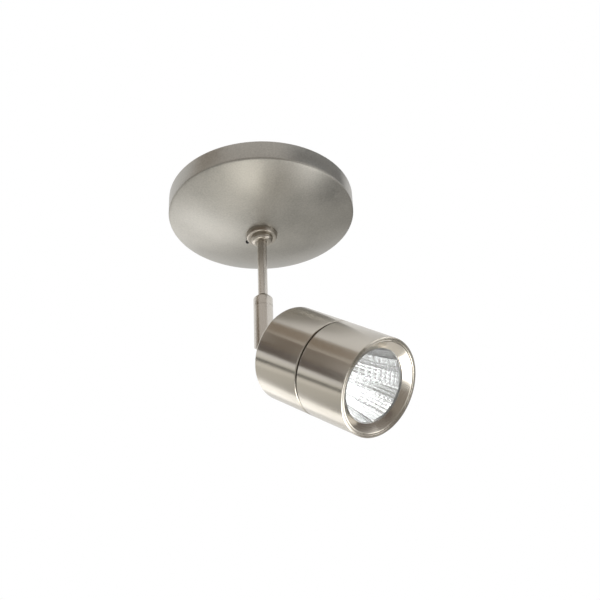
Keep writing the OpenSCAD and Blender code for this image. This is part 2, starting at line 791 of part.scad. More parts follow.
// Heat sink: hub, front plate, radial fins and bosses for the screws, with a way through for the leads
module heat_sink() {
  color("gray") at_head() difference() {
    union() {
      translate([0, 0, s_sink]) cylinder(r = hub_r, h = s_sink_front - s_sink);
      translate([0, 0, s_sink_front - sink_plate_t]) cylinder(r = sink_r, h = sink_plate_t);
      intersection() {
        translate([0, 0, s_sink]) cylinder(r = sink_r, h = s_sink_front - s_sink);
        for (i = [0:fin_count - 1]) rotate([0, 0, 360 / fin_count * (i + 0.5)])
          translate([hub_r - hub_overlap, -fin_t / 2, s_sink]) cube([sink_r, fin_t, s_sink_front - s_sink]);
      }
      at_sink_screws() translate([0, 0, s_sink]) cylinder(r = sink_boss_r, h = s_sink_front - s_sink);
    }
    translate([0, 0, s_sink - eps]) cylinder(r = nut_pocket_r, h = nut_pocket_depth);
    translate([0, -lead_hole_r, s_sink + nut_pocket_depth - lead_window_h])
      cube([hub_r + hub_overlap, 2 * lead_hole_r, lead_window_h]);
    translate([lead_bearing_r, 0, s_sink]) cylinder(r = lead_hole_r, h = s_sink_front);
    at_sink_screws() translate([0, 0, s_sink - eps])
      cylinder(r = sink_screw_d / 2 + seat_clear, h = sink_screw_grip + thread_spare);
    for (side = [-1, 1]) translate([0, side * holder_screw_r, s_sink_front - holder_screw_grip - thread_spare])
      cylinder(r = holder_screw_d / 2 + seat_clear, h = holder_screw_grip + 2 * thread_spare);
  }
}

// Countersunk screws that hold the heat sink to the back wall
module heat_sink_screws() {
  head_r = countersink_r - seat_clear;
  color("dimgray") at_head() at_sink_screws() translate([0, 0, s_rear]) difference() {
    union() {
      cylinder(r1 = head_r, r2 = sink_screw_d / 2, h = countersink_h);
      cylinder(d = sink_screw_d, h = back_wall + sink_screw_grip);
    }
    translate([0, 0, -eps]) cross_recess(head_r * 1.2, head_r * 0.26, countersink_h * 0.7);
  }
}

module thermal_pad() {
  color("lightgray") at_head() translate([-board_w / 2, -board_w / 2, s_sink_front]) cube([board_w, board_w, pad_t]);
}

module emitter_board() {
  color("white") at_head() translate([-board_w / 2, -board_w / 2, s_sink_front + pad_t])
    cube([board_w, board_w, board_t]);
}

module emitter() {
  color("gold") at_head() translate([0, 0, s_sink_front + pad_t + board_t]) cylinder(d = emitter_d, h = emitter_t);
}

// Moulded ring that clamps the emitter board to the heat sink
module emitter_holder() {
  pocket = board_w + 2 * board_free;
  color("white") at_head() translate([0, 0, s_sink_front]) difference() {
    cylinder(d = holder_d, h = holder_h);
    translate([-pocket / 2, -pocket / 2, -eps]) cube([pocket, pocket, pad_t + board_t + eps]);
    translate([0, 0, -eps]) cylinder(r = holder_opening_r, h = holder_h + 2 * eps);
    translate([lead_bearing_r, 0, -eps]) cylinder(r = lead_hole_r, h = holder_h + 2 * eps);
    for (side = [-1, 1]) translate([0, side * holder_screw_r, -eps])
      cylinder(r = holder_screw_d / 2 + seat_clear, h = holder_h + 2 * eps);
  }
}

module holder_screws() {
  color("silver") at_head() for (side = [-1, 1]) translate([0, side * holder_screw_r, s_holder_front])
    pan_screw(holder_screw_d, holder_h + holder_screw_grip, holder_screw_head_d, holder_screw_head_h, 1);
}

// Route of one lead in the head's local frame: out of the stud, through the hub's window, along to the holder
function lead_route(side) =
  let (y = side * lead_pitch / 2)
  [
    [0, y - lead_way_y, s_stud_end - 3],
    [0, y - lead_way_y, s_stud_end + 0.5],
    [1.2, y - 1.9, s_stud_end + 2.6],
    [4.5, y - 1.1, s_stud_end + 4.6],
    [9, y - 0.3, s_stud_end + 6.2],
    [12.6, y, s_stud_end + 8],
    [lead_bearing_r, y, s_stud_end + 10.6],
    [lead_bearing_r, y, s_holder_front]
  ];

// Vector of length 1 in the direction given
function unit(v) = v / norm(v);

// Closed tube of the given number of sides along a route that nowhere runs along Y
module lead_tube(route, d, sides) {
  last = len(route) - 1;
  along = [for (i = [0:last]) unit(route[min(i + 1, last)] - route[max(i - 1, 0)])];
  points = [for (i = [0:last], k = [0:sides - 1])
    let (turn = 360 / sides * k, across = unit(cross([0, 1, 0], along[i])), over = cross(along[i], across))
    route[i] + d / 2 * (cos(turn) * across + sin(turn) * over)];
  walls = [for (i = [0:last - 1], k = [0:sides - 1])
    let (next = (k + 1) % sides)
    [i * sides + k, i * sides + next, (i + 1) * sides + next, (i + 1) * sides + k]];
  ends = [[for (k = [sides - 1:-1:0]) k], [for (k = [0:sides - 1]) last * sides + k]];
  polyhedron(points, concat(walls, ends));
}

module emitter_leads() {
  lead_sides = 8;
  color("red") at_head() for (side = [-1, 1]) lead_tube(lead_route(side), lead_d, lead_sides);
}

// Paraboloid bowl from the neck on the emitter holder to its front edge behind the lens
module reflector() {
  steps = [for (i = [0:curve_steps]) s_neck + (s_reflector_front - s_neck) * i / curve_steps];
  inner = [for (s = steps) [sqrt(bowl_rate * (s - s_vertex)), s]];
  section = concat(inner, [for (i = [curve_steps:-1:0]) inner[i] + [reflector_wall, 0]]);
  color("whitesmoke") at_head() rotate_extrude() polygon(section);
}

// Front barrel and what it carries, which twist off together

// Barrel with a spigot that enters the rear housing, bayonet lugs, a lens ledge and a rounded front lip
module front_barrel() {
  lip_r = min(lip_edge_r, lip_w * 0.45);
  section = concat(
    [[barrel_spigot_in, s_spigot], [barrel_spigot_r, s_spigot], [barrel_spigot_r, s_barrel],
     [head_r - edge_chamfer, s_barrel], [head_r, s_barrel + edge_chamfer]],
    arc([head_r - lip_r, s_front - lip_r], lip_r, 0, 90, edge_steps),
    arc([thread_r + lip_r, s_front - lip_r], lip_r, 90, 180, edge_steps),
    [[thread_r, s_ledge], [ledge_r, s_ledge], [ledge_r, s_ledge - ledge_t],
     [barrel_bore_r, s_ledge - ledge_t], [barrel_bore_r, s_barrel + barrel_web_t],
     [barrel_spigot_in, s_barrel + barrel_web_t]]
  );
  color("silver") at_head() union() {
    difference() {
      rotate_extrude() polygon(section);
      translate([0, 0, s_o_ring - o_ring_d / 2])
        ring(barrel_spigot_r + lug_h, barrel_spigot_r - o_ring_d, o_ring_d);
    }
    for (i = [0:lug_count - 1]) translate([0, 0, s_lug])
      ring_sector(barrel_spigot_r + lug_h, barrel_spigot_r - lug_root, lug_w, i * lug_spread, lug_angle);
  }
}

// Rubber ring in the spigot's groove, which gives the twist its drag
module barrel_o_ring() {
  section_r = o_ring_d / 2 - run_clear;
  color("black") at_head() translate([0, 0, s_o_ring]) rotate_extrude()
    translate([bore_r - run_clear - section_r, 0]) circle(r = section_r);
}

module lens_gasket() {
  color("dimgray") at_head() translate([0, 0, s_ledge]) ring(ledge_r + gasket_w, ledge_r, gasket_t);
}

module lens() {
  color("lightcyan", 0.35) at_head() translate([0, 0, s_lens]) cylinder(r = lens_r, h = lens_t);
}

// Screwed ring that clamps the lens, with a wide bevel from the lip down to the opening
module bezel_ring() {
  s_rim = s_front - bezel_set_back;
  section = [
    [aperture_r, s_lens_front], [bezel_r, s_lens_front], [bezel_r, s_rim], [bezel_r - bezel_rim_w, s_rim],
    [aperture_r, s_lens_front + bezel_edge_t]
  ];
  color("gainsboro") at_head() rotate_extrude() polygon(section);
}

mounting_plate();
lock_washer();
locknut();
threaded_nipple();
ground_screw();
driver_case();
driver_circuit();
driver_cover();
driver_screws();
terminal_block();
terminal_screw();
swivel_ferrule();
pan_washer();
pan_stop_pin();
canopy();
collar();
collar_set_screw();
stem();
stem_cable();
stem_cap();
upper_knuckle();
pivot_screw();
friction_washer();
lower_knuckle();
tension_washer();
knuckle_washer();
knuckle_nut();
rear_housing();
heat_sink();
heat_sink_screws();
thermal_pad();
emitter_board();
emitter();
emitter_holder();
holder_screws();
emitter_leads();
reflector();
front_barrel();
barrel_o_ring();
lens_gasket();
lens();
bezel_ring();
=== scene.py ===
"""Looks of a ceiling spotlight: a brushed nickel head on a thin stem, under a satin nickel canopy.

Sizes are in metres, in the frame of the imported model: +Z is up and the origin lies in the ceiling plane.
A turned piece is drawn as an outline of (radius, height) points about its own +Z axis and then set in place.
"""

import json
import logging
import math
from collections.abc import Callable, Iterator, Sequence
from contextlib import contextmanager
from dataclasses import dataclass, field
from enum import Enum
from typing import Any

import bpy
from mathutils import Matrix, Vector


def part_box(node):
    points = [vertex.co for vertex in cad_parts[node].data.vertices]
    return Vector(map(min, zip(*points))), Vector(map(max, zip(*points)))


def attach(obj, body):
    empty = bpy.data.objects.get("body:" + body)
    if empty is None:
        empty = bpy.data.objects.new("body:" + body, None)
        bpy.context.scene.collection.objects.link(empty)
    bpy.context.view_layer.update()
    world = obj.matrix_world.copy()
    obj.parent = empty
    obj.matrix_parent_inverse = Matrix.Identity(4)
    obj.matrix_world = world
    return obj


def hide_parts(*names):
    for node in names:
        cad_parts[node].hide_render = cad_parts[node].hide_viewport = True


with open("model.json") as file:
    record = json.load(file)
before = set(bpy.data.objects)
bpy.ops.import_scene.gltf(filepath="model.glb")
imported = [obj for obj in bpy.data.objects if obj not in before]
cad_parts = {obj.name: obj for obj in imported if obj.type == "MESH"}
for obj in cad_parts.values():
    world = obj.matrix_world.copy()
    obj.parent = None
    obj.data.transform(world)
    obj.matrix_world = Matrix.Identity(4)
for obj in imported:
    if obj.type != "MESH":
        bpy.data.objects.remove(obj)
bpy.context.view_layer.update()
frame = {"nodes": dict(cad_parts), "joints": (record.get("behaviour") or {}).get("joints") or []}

MM = 0.001
LOG = logging.getLogger("spotlight")
BRUSH_MAP = "brush"
MERGE_DISTANCE = 0.002 * MM
TURN_STEPS = 240
THREAD_STEPS = 64
SECTOR_STEPS = 24
HOLE_STEPS = 48
COUNTERSINK_STEPS = 64
SMOOTH_ANGLE = math.radians(32)
SHARP_ANGLE = math.radians(38)
FLAT_ANGLE = math.radians(1)

Colour = tuple[float, float, float]
Outline = list[tuple[float, float]]


def joint(name: str) -> dict[str, Any]:
    """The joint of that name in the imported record."""
    return next(j for j in frame["joints"] if j["name"] == name)


def head_axis() -> Matrix:
    """Place of the head's own axis.

    Returns:
        A matrix whose origin is the tilt pivot, with +Z towards the front rim and +Y along the pivot.
    """
    forward = Vector(joint("barrel_twist")["axis"]).normalized()
    across = -Vector(joint("tilt")["axis"]).normalized()
    turn_matrix = Matrix((across.cross(forward), across, forward)).transposed()
    return Matrix.Translation(Vector(joint("tilt")["pos_m"])) @ turn_matrix.to_4x4()


UPRIGHT = Matrix.Identity(4)
HEAD = head_axis()


@dataclass(frozen=True)
class Extent:
    """How far a CAD node reaches along an axis and away from it."""

    low: float
    high: float
    inner: float
    outer: float

    @classmethod
    def of(cls, node: str, axis: Matrix = UPRIGHT) -> "Extent":
        """Measures a CAD node.

        Args:
            node: name of the node.
            axis: matrix of the axis that it is measured along.

        Returns:
            Its extent in the axis's own frame.
        """
        to_axis = axis.inverted()
        points = [to_axis @ v.co for v in frame["nodes"][node].data.vertices]
        radii = [math.hypot(p.x, p.y) for p in points]
        heights = [p.z for p in points]
        return cls(min(heights), max(heights), min(radii), max(radii))


# Outlines of turned pieces


def arc(centre: tuple[float, float], radius: float, start: float, end: float, steps: int) -> Outline:
    """Points along an arc.

    Args:
        centre: centre of the arc as (radius, height).
        radius: radius of the arc.
        start: angle of the first point in degrees, from the radius axis towards the height axis.
        end: angle of the last point in degrees.
        steps: number of straight pieces.

    Returns:
        steps + 1 points.
    """
    angles = [math.radians(start + (end - start) * i / steps) for i in range(steps + 1)]
    return [(centre[0] + radius * math.cos(a), centre[1] + radius * math.sin(a)) for a in angles]


def eased(corners: Outline, radius: float, steps: int = 4) -> Outline:
    """Rounds every clear corner of a closed outline.

    Args:
        corners: the outline's corners in order.
        radius: how far each rounding reaches along both sides of a corner.
        steps: straight pieces in each rounding.

    Returns:
        The rounded outline, closed onto its first point.
    """
    nearly_straight = math.cos(math.radians(160))
    most_of_side = 0.45
    points: Outline = []
    for i, corner in enumerate(corners):
        here = Vector(corner)
        before = Vector(corners[i - 1]) - here
        after = Vector(corners[(i + 1) % len(corners)]) - here
        if before.normalized().dot(after.normalized()) < nearly_straight or here.x < MERGE_DISTANCE:
            points.append(corner)
            continue
        reach = min(radius, most_of_side * before.length, most_of_side * after.length)
        first, last = here + before.normalized() * reach, here + after.normalized() * reach
        for step in range(steps + 1):
            t = step / steps
            points.append(tuple(first * (1 - t) ** 2 + here * (2 * t * (1 - t)) + last * t**2))
    return [*points, points[0]]


# Work on the bench: operators that shape one object at a time


def pick(obj: bpy.types.Object) -> None:
    """Leaves only one object selected and active.

    Args:
        obj: the object.
    """
    bpy.ops.object.select_all(action="DESELECT")
    obj.select_set(True)
    bpy.context.view_layer.objects.active = obj


class Part(Enum):
    """What a selection on a mesh is made of."""

    POINTS = "vertices"
    FACES = "polygons"


@contextmanager
def editing(
    obj: bpy.types.Object, wanted: Callable[[Any], bool] | None = None, part: Part = Part.POINTS
) -> Iterator[None]:
    """Opens an object in edit mode with some of its mesh selected, and closes it again.

    Args:
        obj: the object to edit.
        wanted: test for the points or faces to select. With no test, all of the mesh is selected.
        part: whether the test is on points or on faces.

    Returns:
        A context in which the object is open.
    """
    pick(obj)
    mesh = obj.data
    for kind in ("vertices", "edges", "polygons"):
        group = getattr(mesh, kind)
        chosen = [not wanted or (kind == part.value and wanted(item)) for item in group]
        group.foreach_set("select", chosen)
    bpy.context.tool_settings.mesh_select_mode = (part is Part.POINTS, False, part is Part.FACES)
    bpy.ops.object.mode_set(mode="EDIT")
    yield
    bpy.ops.object.mode_set(mode="OBJECT")


def apply_modifier(obj: bpy.types.Object, kind: str, **settings: Any) -> None:
    """Adds a modifier, sets it and applies it.

    Args:
        obj: the object to change.
        kind: Blender's name for the kind of modifier.
        settings: the modifier's own properties.
    """
    pick(obj)
    modifier = obj.modifiers.new(kind.lower(), kind)
    for key, value in settings.items():
        setattr(modifier, key, value)
    bpy.ops.object.modifier_apply(modifier=modifier.name)


def tidy_mesh(obj: bpy.types.Object) -> None:
    """Merges doubled points and turns every face outwards.

    Args:
        obj: the object to tidy.
    """
    with editing(obj):
        bpy.ops.mesh.remove_doubles(threshold=MERGE_DISTANCE)
        bpy.ops.mesh.normals_make_consistent(inside=False)


def turn(name: str, outline: Outline, steps: int = TURN_STEPS) -> bpy.types.Object:
    """Turns an outline about +Z, as on a lathe.

    Args:
        name: name of the new object.
        outline: (radius, height) points in order.
        steps: facets round the axis.

    Returns:
        The turned object, at the origin.
    """
    radius, height = outline[0]
    bpy.ops.object.select_all(action="DESELECT")
    bpy.ops.mesh.primitive_plane_add(size=MM, location=(radius, 0, height))
    obj = bpy.context.object
    obj.name = obj.data.name = name
    bpy.ops.object.transform_apply(location=True)
    with editing(obj):
        bpy.ops.mesh.merge(type="CENTER")
        for here, there in zip(outline, outline[1:]):
            step = (there[0] - here[0], 0, there[1] - here[1])
            bpy.ops.mesh.extrude_vertices_move(TRANSFORM_OT_translate={"value": step})
        bpy.ops.mesh.select_all(action="SELECT")
        bpy.ops.mesh.spin(steps=steps, angle=math.tau, center=(0, 0, 0), axis=(0, 0, 1))
    tidy_mesh(obj)
    return obj


def sector(
    low: float, high: float, inner: float, outer: float, start: float, angle: float
) -> bpy.types.Object:
    """Models a piece of a ring about +Z, for a slot or a lug.

    Args:
        low: height of its lower face.
        high: height of its upper face.
        inner: radius of its inner face.
        outer: radius of its outer face.
        start: angle in radians at which it starts.
        angle: how far it goes round anticlockwise, in radians. Spin counts the other way.

    Returns:
        The piece.
    """
    bpy.ops.object.select_all(action="DESELECT")
    bpy.ops.mesh.primitive_plane_add(size=1)
    piece = bpy.context.object
    middle = Matrix.Translation(((inner + outer) / 2, 0, (low + high) / 2))
    size = Matrix.Diagonal((outer - inner, 1, high - low, 1))
    place(piece, Matrix.Rotation(start, 4, "Z") @ middle @ size @ Matrix.Rotation(math.pi / 2, 4, "X"))
    with editing(piece):
        bpy.ops.mesh.spin(steps=SECTOR_STEPS, angle=-angle, center=(0, 0, 0), axis=(0, 0, 1))
    tidy_mesh(piece)
    return piece


class Joining(Enum):
    """How one solid works on another."""

    CUT = "DIFFERENCE"
    WELD = "UNION"
    TRIM = "INTERSECT"


def work(obj: bpy.types.Object, tool: bpy.types.Object, how: Joining = Joining.CUT) -> None:
    """Cuts a solid out of an object, welds it on or trims the object to it, and throws the tool away."""
    apply_modifier(obj, "BOOLEAN", operation=how.value, solver="EXACT", object=tool)
    bpy.data.objects.remove(tool)


def thread(radius: float, depth: float, pitch: float, low: float, high: float) -> bpy.types.Object:
    """Models a threaded rod about +Z that is a little too long, to be trimmed.

    Args:
        radius: radius of the thread's crest.
        depth: how deep the thread is.
        pitch: rise of one turn.
        low: height from which the thread is whole.
        high: height up to which it is whole.

    Returns:
        The rod, closed at both ends.
    """
    start = low - 2 * pitch
    bpy.ops.object.select_all(action="DESELECT")
    bpy.ops.mesh.primitive_plane_add(size=MM, location=(radius - depth, 0, start))
    rod = bpy.context.object
    bpy.ops.object.transform_apply(location=True)
    with editing(rod):
        bpy.ops.mesh.merge(type="CENTER")
        for step in ((depth, 0, pitch / 2), (-depth, 0, pitch / 2)):
            bpy.ops.mesh.extrude_vertices_move(TRANSFORM_OT_translate={"value": step})
    turns = math.ceil((high - start) / pitch) + 1
    apply_modifier(
        rod, "SCREW", screw_offset=pitch, iterations=turns, steps=THREAD_STEPS, render_steps=THREAD_STEPS
    )
    with editing(rod):
        bpy.ops.mesh.remove_doubles(threshold=MERGE_DISTANCE)
        bpy.ops.mesh.select_all(action="SELECT")
        bpy.ops.mesh.fill_holes(sides=0)
    tidy_mesh(rod)
    return rod


def eased_copy(name: str, node: str, edge: float) -> bpy.types.Object:
    """Copies a CAD node and rounds its sharp edges.

    Args:
        name: name of the new object.
        node: the node to copy.
        edge: width of the rounding.

    Returns:
        The copy, in place.
    """
    obj = bpy.data.objects.new(name, frame["nodes"][node].data.copy())
    obj.data.name = name
    bpy.context.scene.collection.objects.link(obj)
    with editing(obj):
        bpy.ops.mesh.remove_doubles(threshold=MERGE_DISTANCE)
        bpy.ops.mesh.customdata_custom_splitnormals_clear()
        bpy.ops.mesh.dissolve_limited(angle_limit=FLAT_ANGLE)
    where = {"limit_method": "ANGLE", "angle_limit": SHARP_ANGLE}
    apply_modifier(obj, "BEVEL", width=edge, segments=3, miter_outer="MITER_ARC", **where)
    smooth(obj)
    apply_modifier(obj, "WEIGHTED_NORMAL", keep_sharp=True)
    return obj


def place(obj: bpy.types.Object, matrix: Matrix) -> bpy.types.Object:
    """Moves an object by a matrix and leaves the move in its mesh.

    Args:
        obj: the object to move.
        matrix: where its own frame goes.

    Returns:
        The object.
    """
    pick(obj)
    obj.matrix_world = matrix
    bpy.ops.object.transform_apply(location=True, rotation=True, scale=True)
    return obj


def smooth(obj: bpy.types.Object, angle: float = SMOOTH_ANGLE) -> None:
    """Shades an object smooth except where it turns by more than an angle."""
    pick(obj)
    bpy.ops.object.shade_smooth_by_angle(angle=angle)


def lay_brush_map(obj: bpy.types.Object) -> None:
    """Gives a piece that is still upright on the bench a map for turned metal.

    U runs along the piece's outline and V once round its axis, so that a finish can follow the tool marks.

    Args:
        obj: the turned object, before it is set in place.
    """
    mesh = obj.data
    nearly_upright = 0.8
    layer = mesh.uv_layers.new(name=BRUSH_MAP)
    for face in mesh.polygons:
        facing_up = abs(face.normal.z) > nearly_upright
        middle = math.atan2(face.center.y, face.center.x) / math.tau
        for loop in face.loop_indices:
            point = mesh.vertices[mesh.loops[loop].vertex_index].co
            turned = math.atan2(point.y, point.x) / math.tau
            turned += round(middle - turned)
            along = math.hypot(point.x, point.y) if facing_up else point.z
            layer.data[loop].uv = (along, turned)


# Finishes


class Lay(Enum):
    """Which way the marks on a metal surface run."""

    TURNED = "round the axis"
    DRAWN = "along the axis"
    BLASTED = "no way at all"


class Graph:
    """Nodes of one material, added and linked by the names of their sockets."""

    def __init__(self, name: str) -> None:
        """Starts a material with one shader.

        Args:
            name: name of the material.
        """
        self.material = bpy.data.materials.new(name)
        self.material.use_nodes = True
        self.tree = self.material.node_tree
        self.shader = self.tree.nodes["Principled BSDF"]

    def add(self, kind: str, inputs: dict[str | int, Any] | None = None, **settings: Any) -> bpy.types.Node:
        """Adds a node.

        Args:
            kind: the node's type without the ShaderNode prefix.
            inputs: for each input socket, a value or the output socket that feeds it.
            settings: the node's own properties.

        Returns:
            The new node.
        """
        node = self.tree.nodes.new("ShaderNode" + kind)
        for key, value in settings.items():
            setattr(node, key, value)
        self.feed(node, inputs or {})
        return node

    def feed(self, node: bpy.types.Node, inputs: dict[str | int, Any]) -> None:
        """Sets or links a node's input sockets.

        Args:
            node: the node.
            inputs: for each input socket, a value or the output socket that feeds it.
        """
        for key, value in inputs.items():
            if isinstance(value, bpy.types.NodeSocket):
                self.tree.links.new(value, node.inputs[key])
            else:
                node.inputs[key].default_value = value

    def local(self, axis: Matrix) -> bpy.types.NodeSocket:
        """Object coordinates seen from an axis's own frame.

        Args:
            axis: matrix of the axis.

        Returns:
            A vector socket.
        """
        back = axis.inverted()
        place_in = self.add("Mapping", {"Vector": self.add("TexCoord").outputs["Object"]})
        place_in.inputs["Location"].default_value = back.translation
        place_in.inputs["Rotation"].default_value = back.to_euler()
        return place_in.outputs["Vector"]

    def math(self, operation: str, *values: Any) -> bpy.types.NodeSocket:
        """Result of one sum on values or sockets."""
        return self.add("Math", dict(enumerate(values)), operation=operation).outputs[0]

    def noise(
        self, vector: Any, scale: float, detail: float = 2.0, rough: float = 0.5
    ) -> bpy.types.NodeSocket:
        """Noise from 0 to 1 over some coordinates."""
        inputs = {"Vector": vector, "Scale": scale, "Detail": detail, "Roughness": rough}
        return self.add("TexNoise", inputs).outputs["Fac"]

    def spread(self, value: Any, low: float, high: float) -> bpy.types.NodeSocket:
        """Stretches the middle of a noise, 0.3 to 0.7, over a range."""
        inputs = {"Value": value, "From Min": 0.3, "From Max": 0.7, "To Min": low, "To Max": high}
        return self.add("MapRange", inputs).outputs["Result"]

    def blend(self, factor: Any, first: Any, second: Any) -> bpy.types.NodeSocket:
        """Mixes two colours, given as values or sockets."""
        inputs = {0: factor, 6: opaque(first), 7: opaque(second)}
        return self.add("Mix", inputs, data_type="RGBA").outputs[2]

    def bump(self, height: Any, depth: float, strength: float = 1.0) -> bpy.types.NodeSocket:
        """Surface normal over a height from 0 to 1 that is depth metres deep."""
        inputs = {"Height": height, "Distance": depth, "Strength": strength}
        return self.add("Bump", inputs).outputs["Normal"]


def opaque(colour: Any) -> Any:
    """Adds full opacity to a plain colour, and leaves a socket as it is."""
    return colour if isinstance(colour, bpy.types.NodeSocket) else (*colour, 1.0)


def shade(colour: Colour, by: float) -> Colour:
    """A colour made darker or lighter by a factor."""
    return tuple(c * by for c in colour)


class Finish:
    """A finish that is made into a material once."""

    name: str

    def mix(self, graph: Graph) -> None:
        """Sets up the shader. Each kind of finish has its own way."""
        raise NotImplementedError

    def material(self) -> bpy.types.Material:
        """The finish as a material.

        Returns:
            The material, new at the first call.
        """
        known = bpy.data.materials.get(self.name)
        if known:
            return known
        graph = Graph(self.name)
        self.mix(graph)
        return graph.material


@dataclass(frozen=True)
class Metal(Finish):
    """Bare or plated metal, with the marks that its making left."""

    name: str
    colour: Colour
    roughness: float
    lay: Lay = Lay.BLASTED
    anisotropy: float = 0.0
    mark_size: float = 0.25 * MM
    mark_depth: float = 0.004 * MM
    mark_contrast: float = 0.06
    patch_size: float = 22 * MM
    patch_contrast: float = 0.05
    metallic: float = 1.0
    mark_stretch: float = 90.0
    axis: Matrix = field(default_factory=lambda: UPRIGHT)

    def marks(self, graph: Graph, local: bpy.types.NodeSocket) -> bpy.types.NodeSocket:
        """Noise that follows the lay of the marks.

        Args:
            graph: the material's nodes.
            local: coordinates in the frame of the piece's axis.

        Returns:
            A socket from 0 to 1.
        """
        fine = 1 / self.mark_size
        if self.lay is Lay.BLASTED:
            return graph.noise(local, fine, 3.0, 0.6)
        parts = graph.add("SeparateXYZ", {0: local}).outputs
        x, y, z = parts[0], parts[1], parts[2]
        long = fine / self.mark_stretch
        if self.lay is Lay.DRAWN:
            scaled = ((x, fine), (y, fine), (z, long))
            inputs = {i: graph.math("MULTIPLY", value, by) for i, (value, by) in enumerate(scaled)}
        else:
            flat = graph.add("CombineXYZ", {0: x, 1: y}).outputs[0]
            radius = graph.add("VectorMath", {0: flat}, operation="LENGTH").outputs["Value"]
            across = graph.math("MULTIPLY", graph.math("ADD", radius, z), fine)
            inputs = {0: across, 1: graph.math("MULTIPLY", x, long), 2: graph.math("MULTIPLY", y, long)}
        return graph.noise(graph.add("CombineXYZ", inputs).outputs[0], 1.0, 4.0, 0.65)

    def mix(self, graph: Graph) -> None:
        """Mixes the tone, the gloss and the tool marks.

        Args:
            graph: the material's nodes.
        """
        local = graph.local(self.axis)
        marks = self.marks(graph, local)
        patches = graph.noise(local, 1 / self.patch_size, 3.0)
        tone = graph.math("ADD", graph.spread(marks, -0.6, 0.6), graph.spread(patches, -0.4, 0.4))
        rough = graph.math("MULTIPLY_ADD", tone, self.mark_contrast, self.roughness)
        lift = graph.math("MULTIPLY_ADD", tone, 0.5, 0.5)
        dark, light = shade(self.colour, 1 - self.patch_contrast), shade(self.colour, 1 + self.patch_contrast)
        graph.feed(graph.shader, {
            "Base Color": graph.blend(lift, dark, light),
            "Metallic": self.metallic,
            "Roughness": rough,
            "Normal": graph.bump(marks, self.mark_depth),
        })
        if self.anisotropy:
            tangent = graph.add("Tangent", direction_type="UV_MAP", uv_map=BRUSH_MAP)
            graph.feed(graph.shader, {"Anisotropic": self.anisotropy, "Tangent": tangent.outputs[0]})


@dataclass(frozen=True)
class Moulding(Finish):
    """Plastic, rubber, silicone or paint, with a fine skin."""

    name: str
    colour: Colour
    roughness: float
    skin_size: float = 0.4 * MM
    skin_depth: float = 0.01 * MM
    mottle: float = 0.05
    waxy: float = 0.0
    cloud_scale: float = 60.0
    gloss_range: float = 0.06

    def gloss(self) -> tuple[float, float]:
        """Least and greatest roughness."""
        return self.roughness - self.gloss_range, self.roughness + self.gloss_range

    def mix(self, graph: Graph) -> None:
        """Mixes the mottled colour and the fine skin.

        Args:
            graph: the material's nodes.
        """
        local = graph.local(UPRIGHT)
        skin = graph.noise(local, 1 / self.skin_size, 3.0, 0.6)
        clouds = graph.noise(local, self.cloud_scale, 3.0)
        dark, light = shade(self.colour, 1 - self.mottle), shade(self.colour, 1 + self.mottle)
        graph.feed(graph.shader, {
            "Base Color": graph.blend(clouds, dark, light),
            "Roughness": graph.spread(skin, *self.gloss()),
            "Normal": graph.bump(skin, self.skin_depth),
        })
        if self.waxy:
            graph.feed(graph.shader, {"Subsurface Weight": self.waxy, "Subsurface Scale": 1 * MM})


@dataclass(frozen=True)
class ClearGlass(Finish):
    """Polished glass with a faint film on it."""

    name: str = "clear_glass_finish"
    tint: Colour = (0.97, 0.985, 0.98)
    index: float = 1.5
    clearness: float = 0.92
    film_scale: float = 180.0
    film_gloss: float = 0.03

    def mix(self, graph: Graph) -> None:
        """Mixes clear glass and its film.

        Args:
            graph: the material's nodes.
        """
        film = graph.noise(graph.local(HEAD), self.film_scale, 4.0, 0.6)
        graph.feed(graph.shader, {
            "Base Color": opaque(self.tint),
            "Roughness": graph.spread(film, 0.0, self.film_gloss),
            "IOR": self.index,
            "Transmission Weight": self.clearness,
        })


SATIN_NICKEL = Metal(
    "satin_nickel_finish", (0.455, 0.44, 0.405), 0.4, Lay.BLASTED, 0.15,
    mark_size=1.1 * MM, mark_depth=0.03 * MM, mark_contrast=0.1, patch_contrast=0.2, metallic=0.86,
)
TURNED_NICKEL = Metal(
    "turned_nickel_finish", (0.57, 0.535, 0.475), 0.25, Lay.TURNED, 0.85,
    mark_size=0.12 * MM, mark_depth=0.0002 * MM, mark_contrast=0.012, patch_contrast=0.025, axis=HEAD,
)
BEZEL_NICKEL = Metal(
    "bezel_nickel_finish", (0.57, 0.535, 0.475), 0.2, Lay.TURNED, 0.5,
    mark_size=0.12 * MM, mark_depth=0.0003 * MM, mark_contrast=0.015, patch_contrast=0.025, axis=HEAD,
)
SMOOTH_NICKEL = Metal(
    "smooth_nickel_finish", (0.6, 0.565, 0.515), 0.27, Lay.TURNED,
    mark_size=0.2 * MM, mark_depth=0.0015 * MM, mark_contrast=0.03,
)
SMOOTH_NICKEL_HEAD = Metal(
    "smooth_nickel_head_finish", (0.6, 0.565, 0.515), 0.2, Lay.TURNED,
    mark_size=0.2 * MM, mark_depth=0.0015 * MM, mark_contrast=0.03, axis=HEAD,
)
# The same nickel as the stem and its cap, with painted shade: its colour is made darker to stand in for the
# shade round the collar and the ferrule.
SHADED_COLLAR_NICKEL = Metal(
    "collar_nickel_painted_shade_finish", (0.5, 0.465, 0.41), 0.32, Lay.TURNED,
    mark_size=0.2 * MM, mark_depth=0.0015 * MM, mark_contrast=0.03,
)
DRAWN_NICKEL = Metal(
    "drawn_nickel_finish", (0.6, 0.565, 0.515), 0.27, Lay.DRAWN,
    mark_size=0.15 * MM, mark_depth=0.0015 * MM, mark_contrast=0.03,
)
ZINC_PLATE = Metal("zinc_plate_finish", (0.62, 0.63, 0.63), 0.32, mark_size=1.6 * MM, patch_contrast=0.1)
BRASS = Metal("brass_finish", (0.72, 0.53, 0.26), 0.28, Lay.TURNED)
BLACK_OXIDE = Metal("black_oxide_finish", (0.045, 0.045, 0.048), 0.42)
GREEN_ZINC = Metal("green_zinc_finish", (0.06, 0.34, 0.13), 0.38)
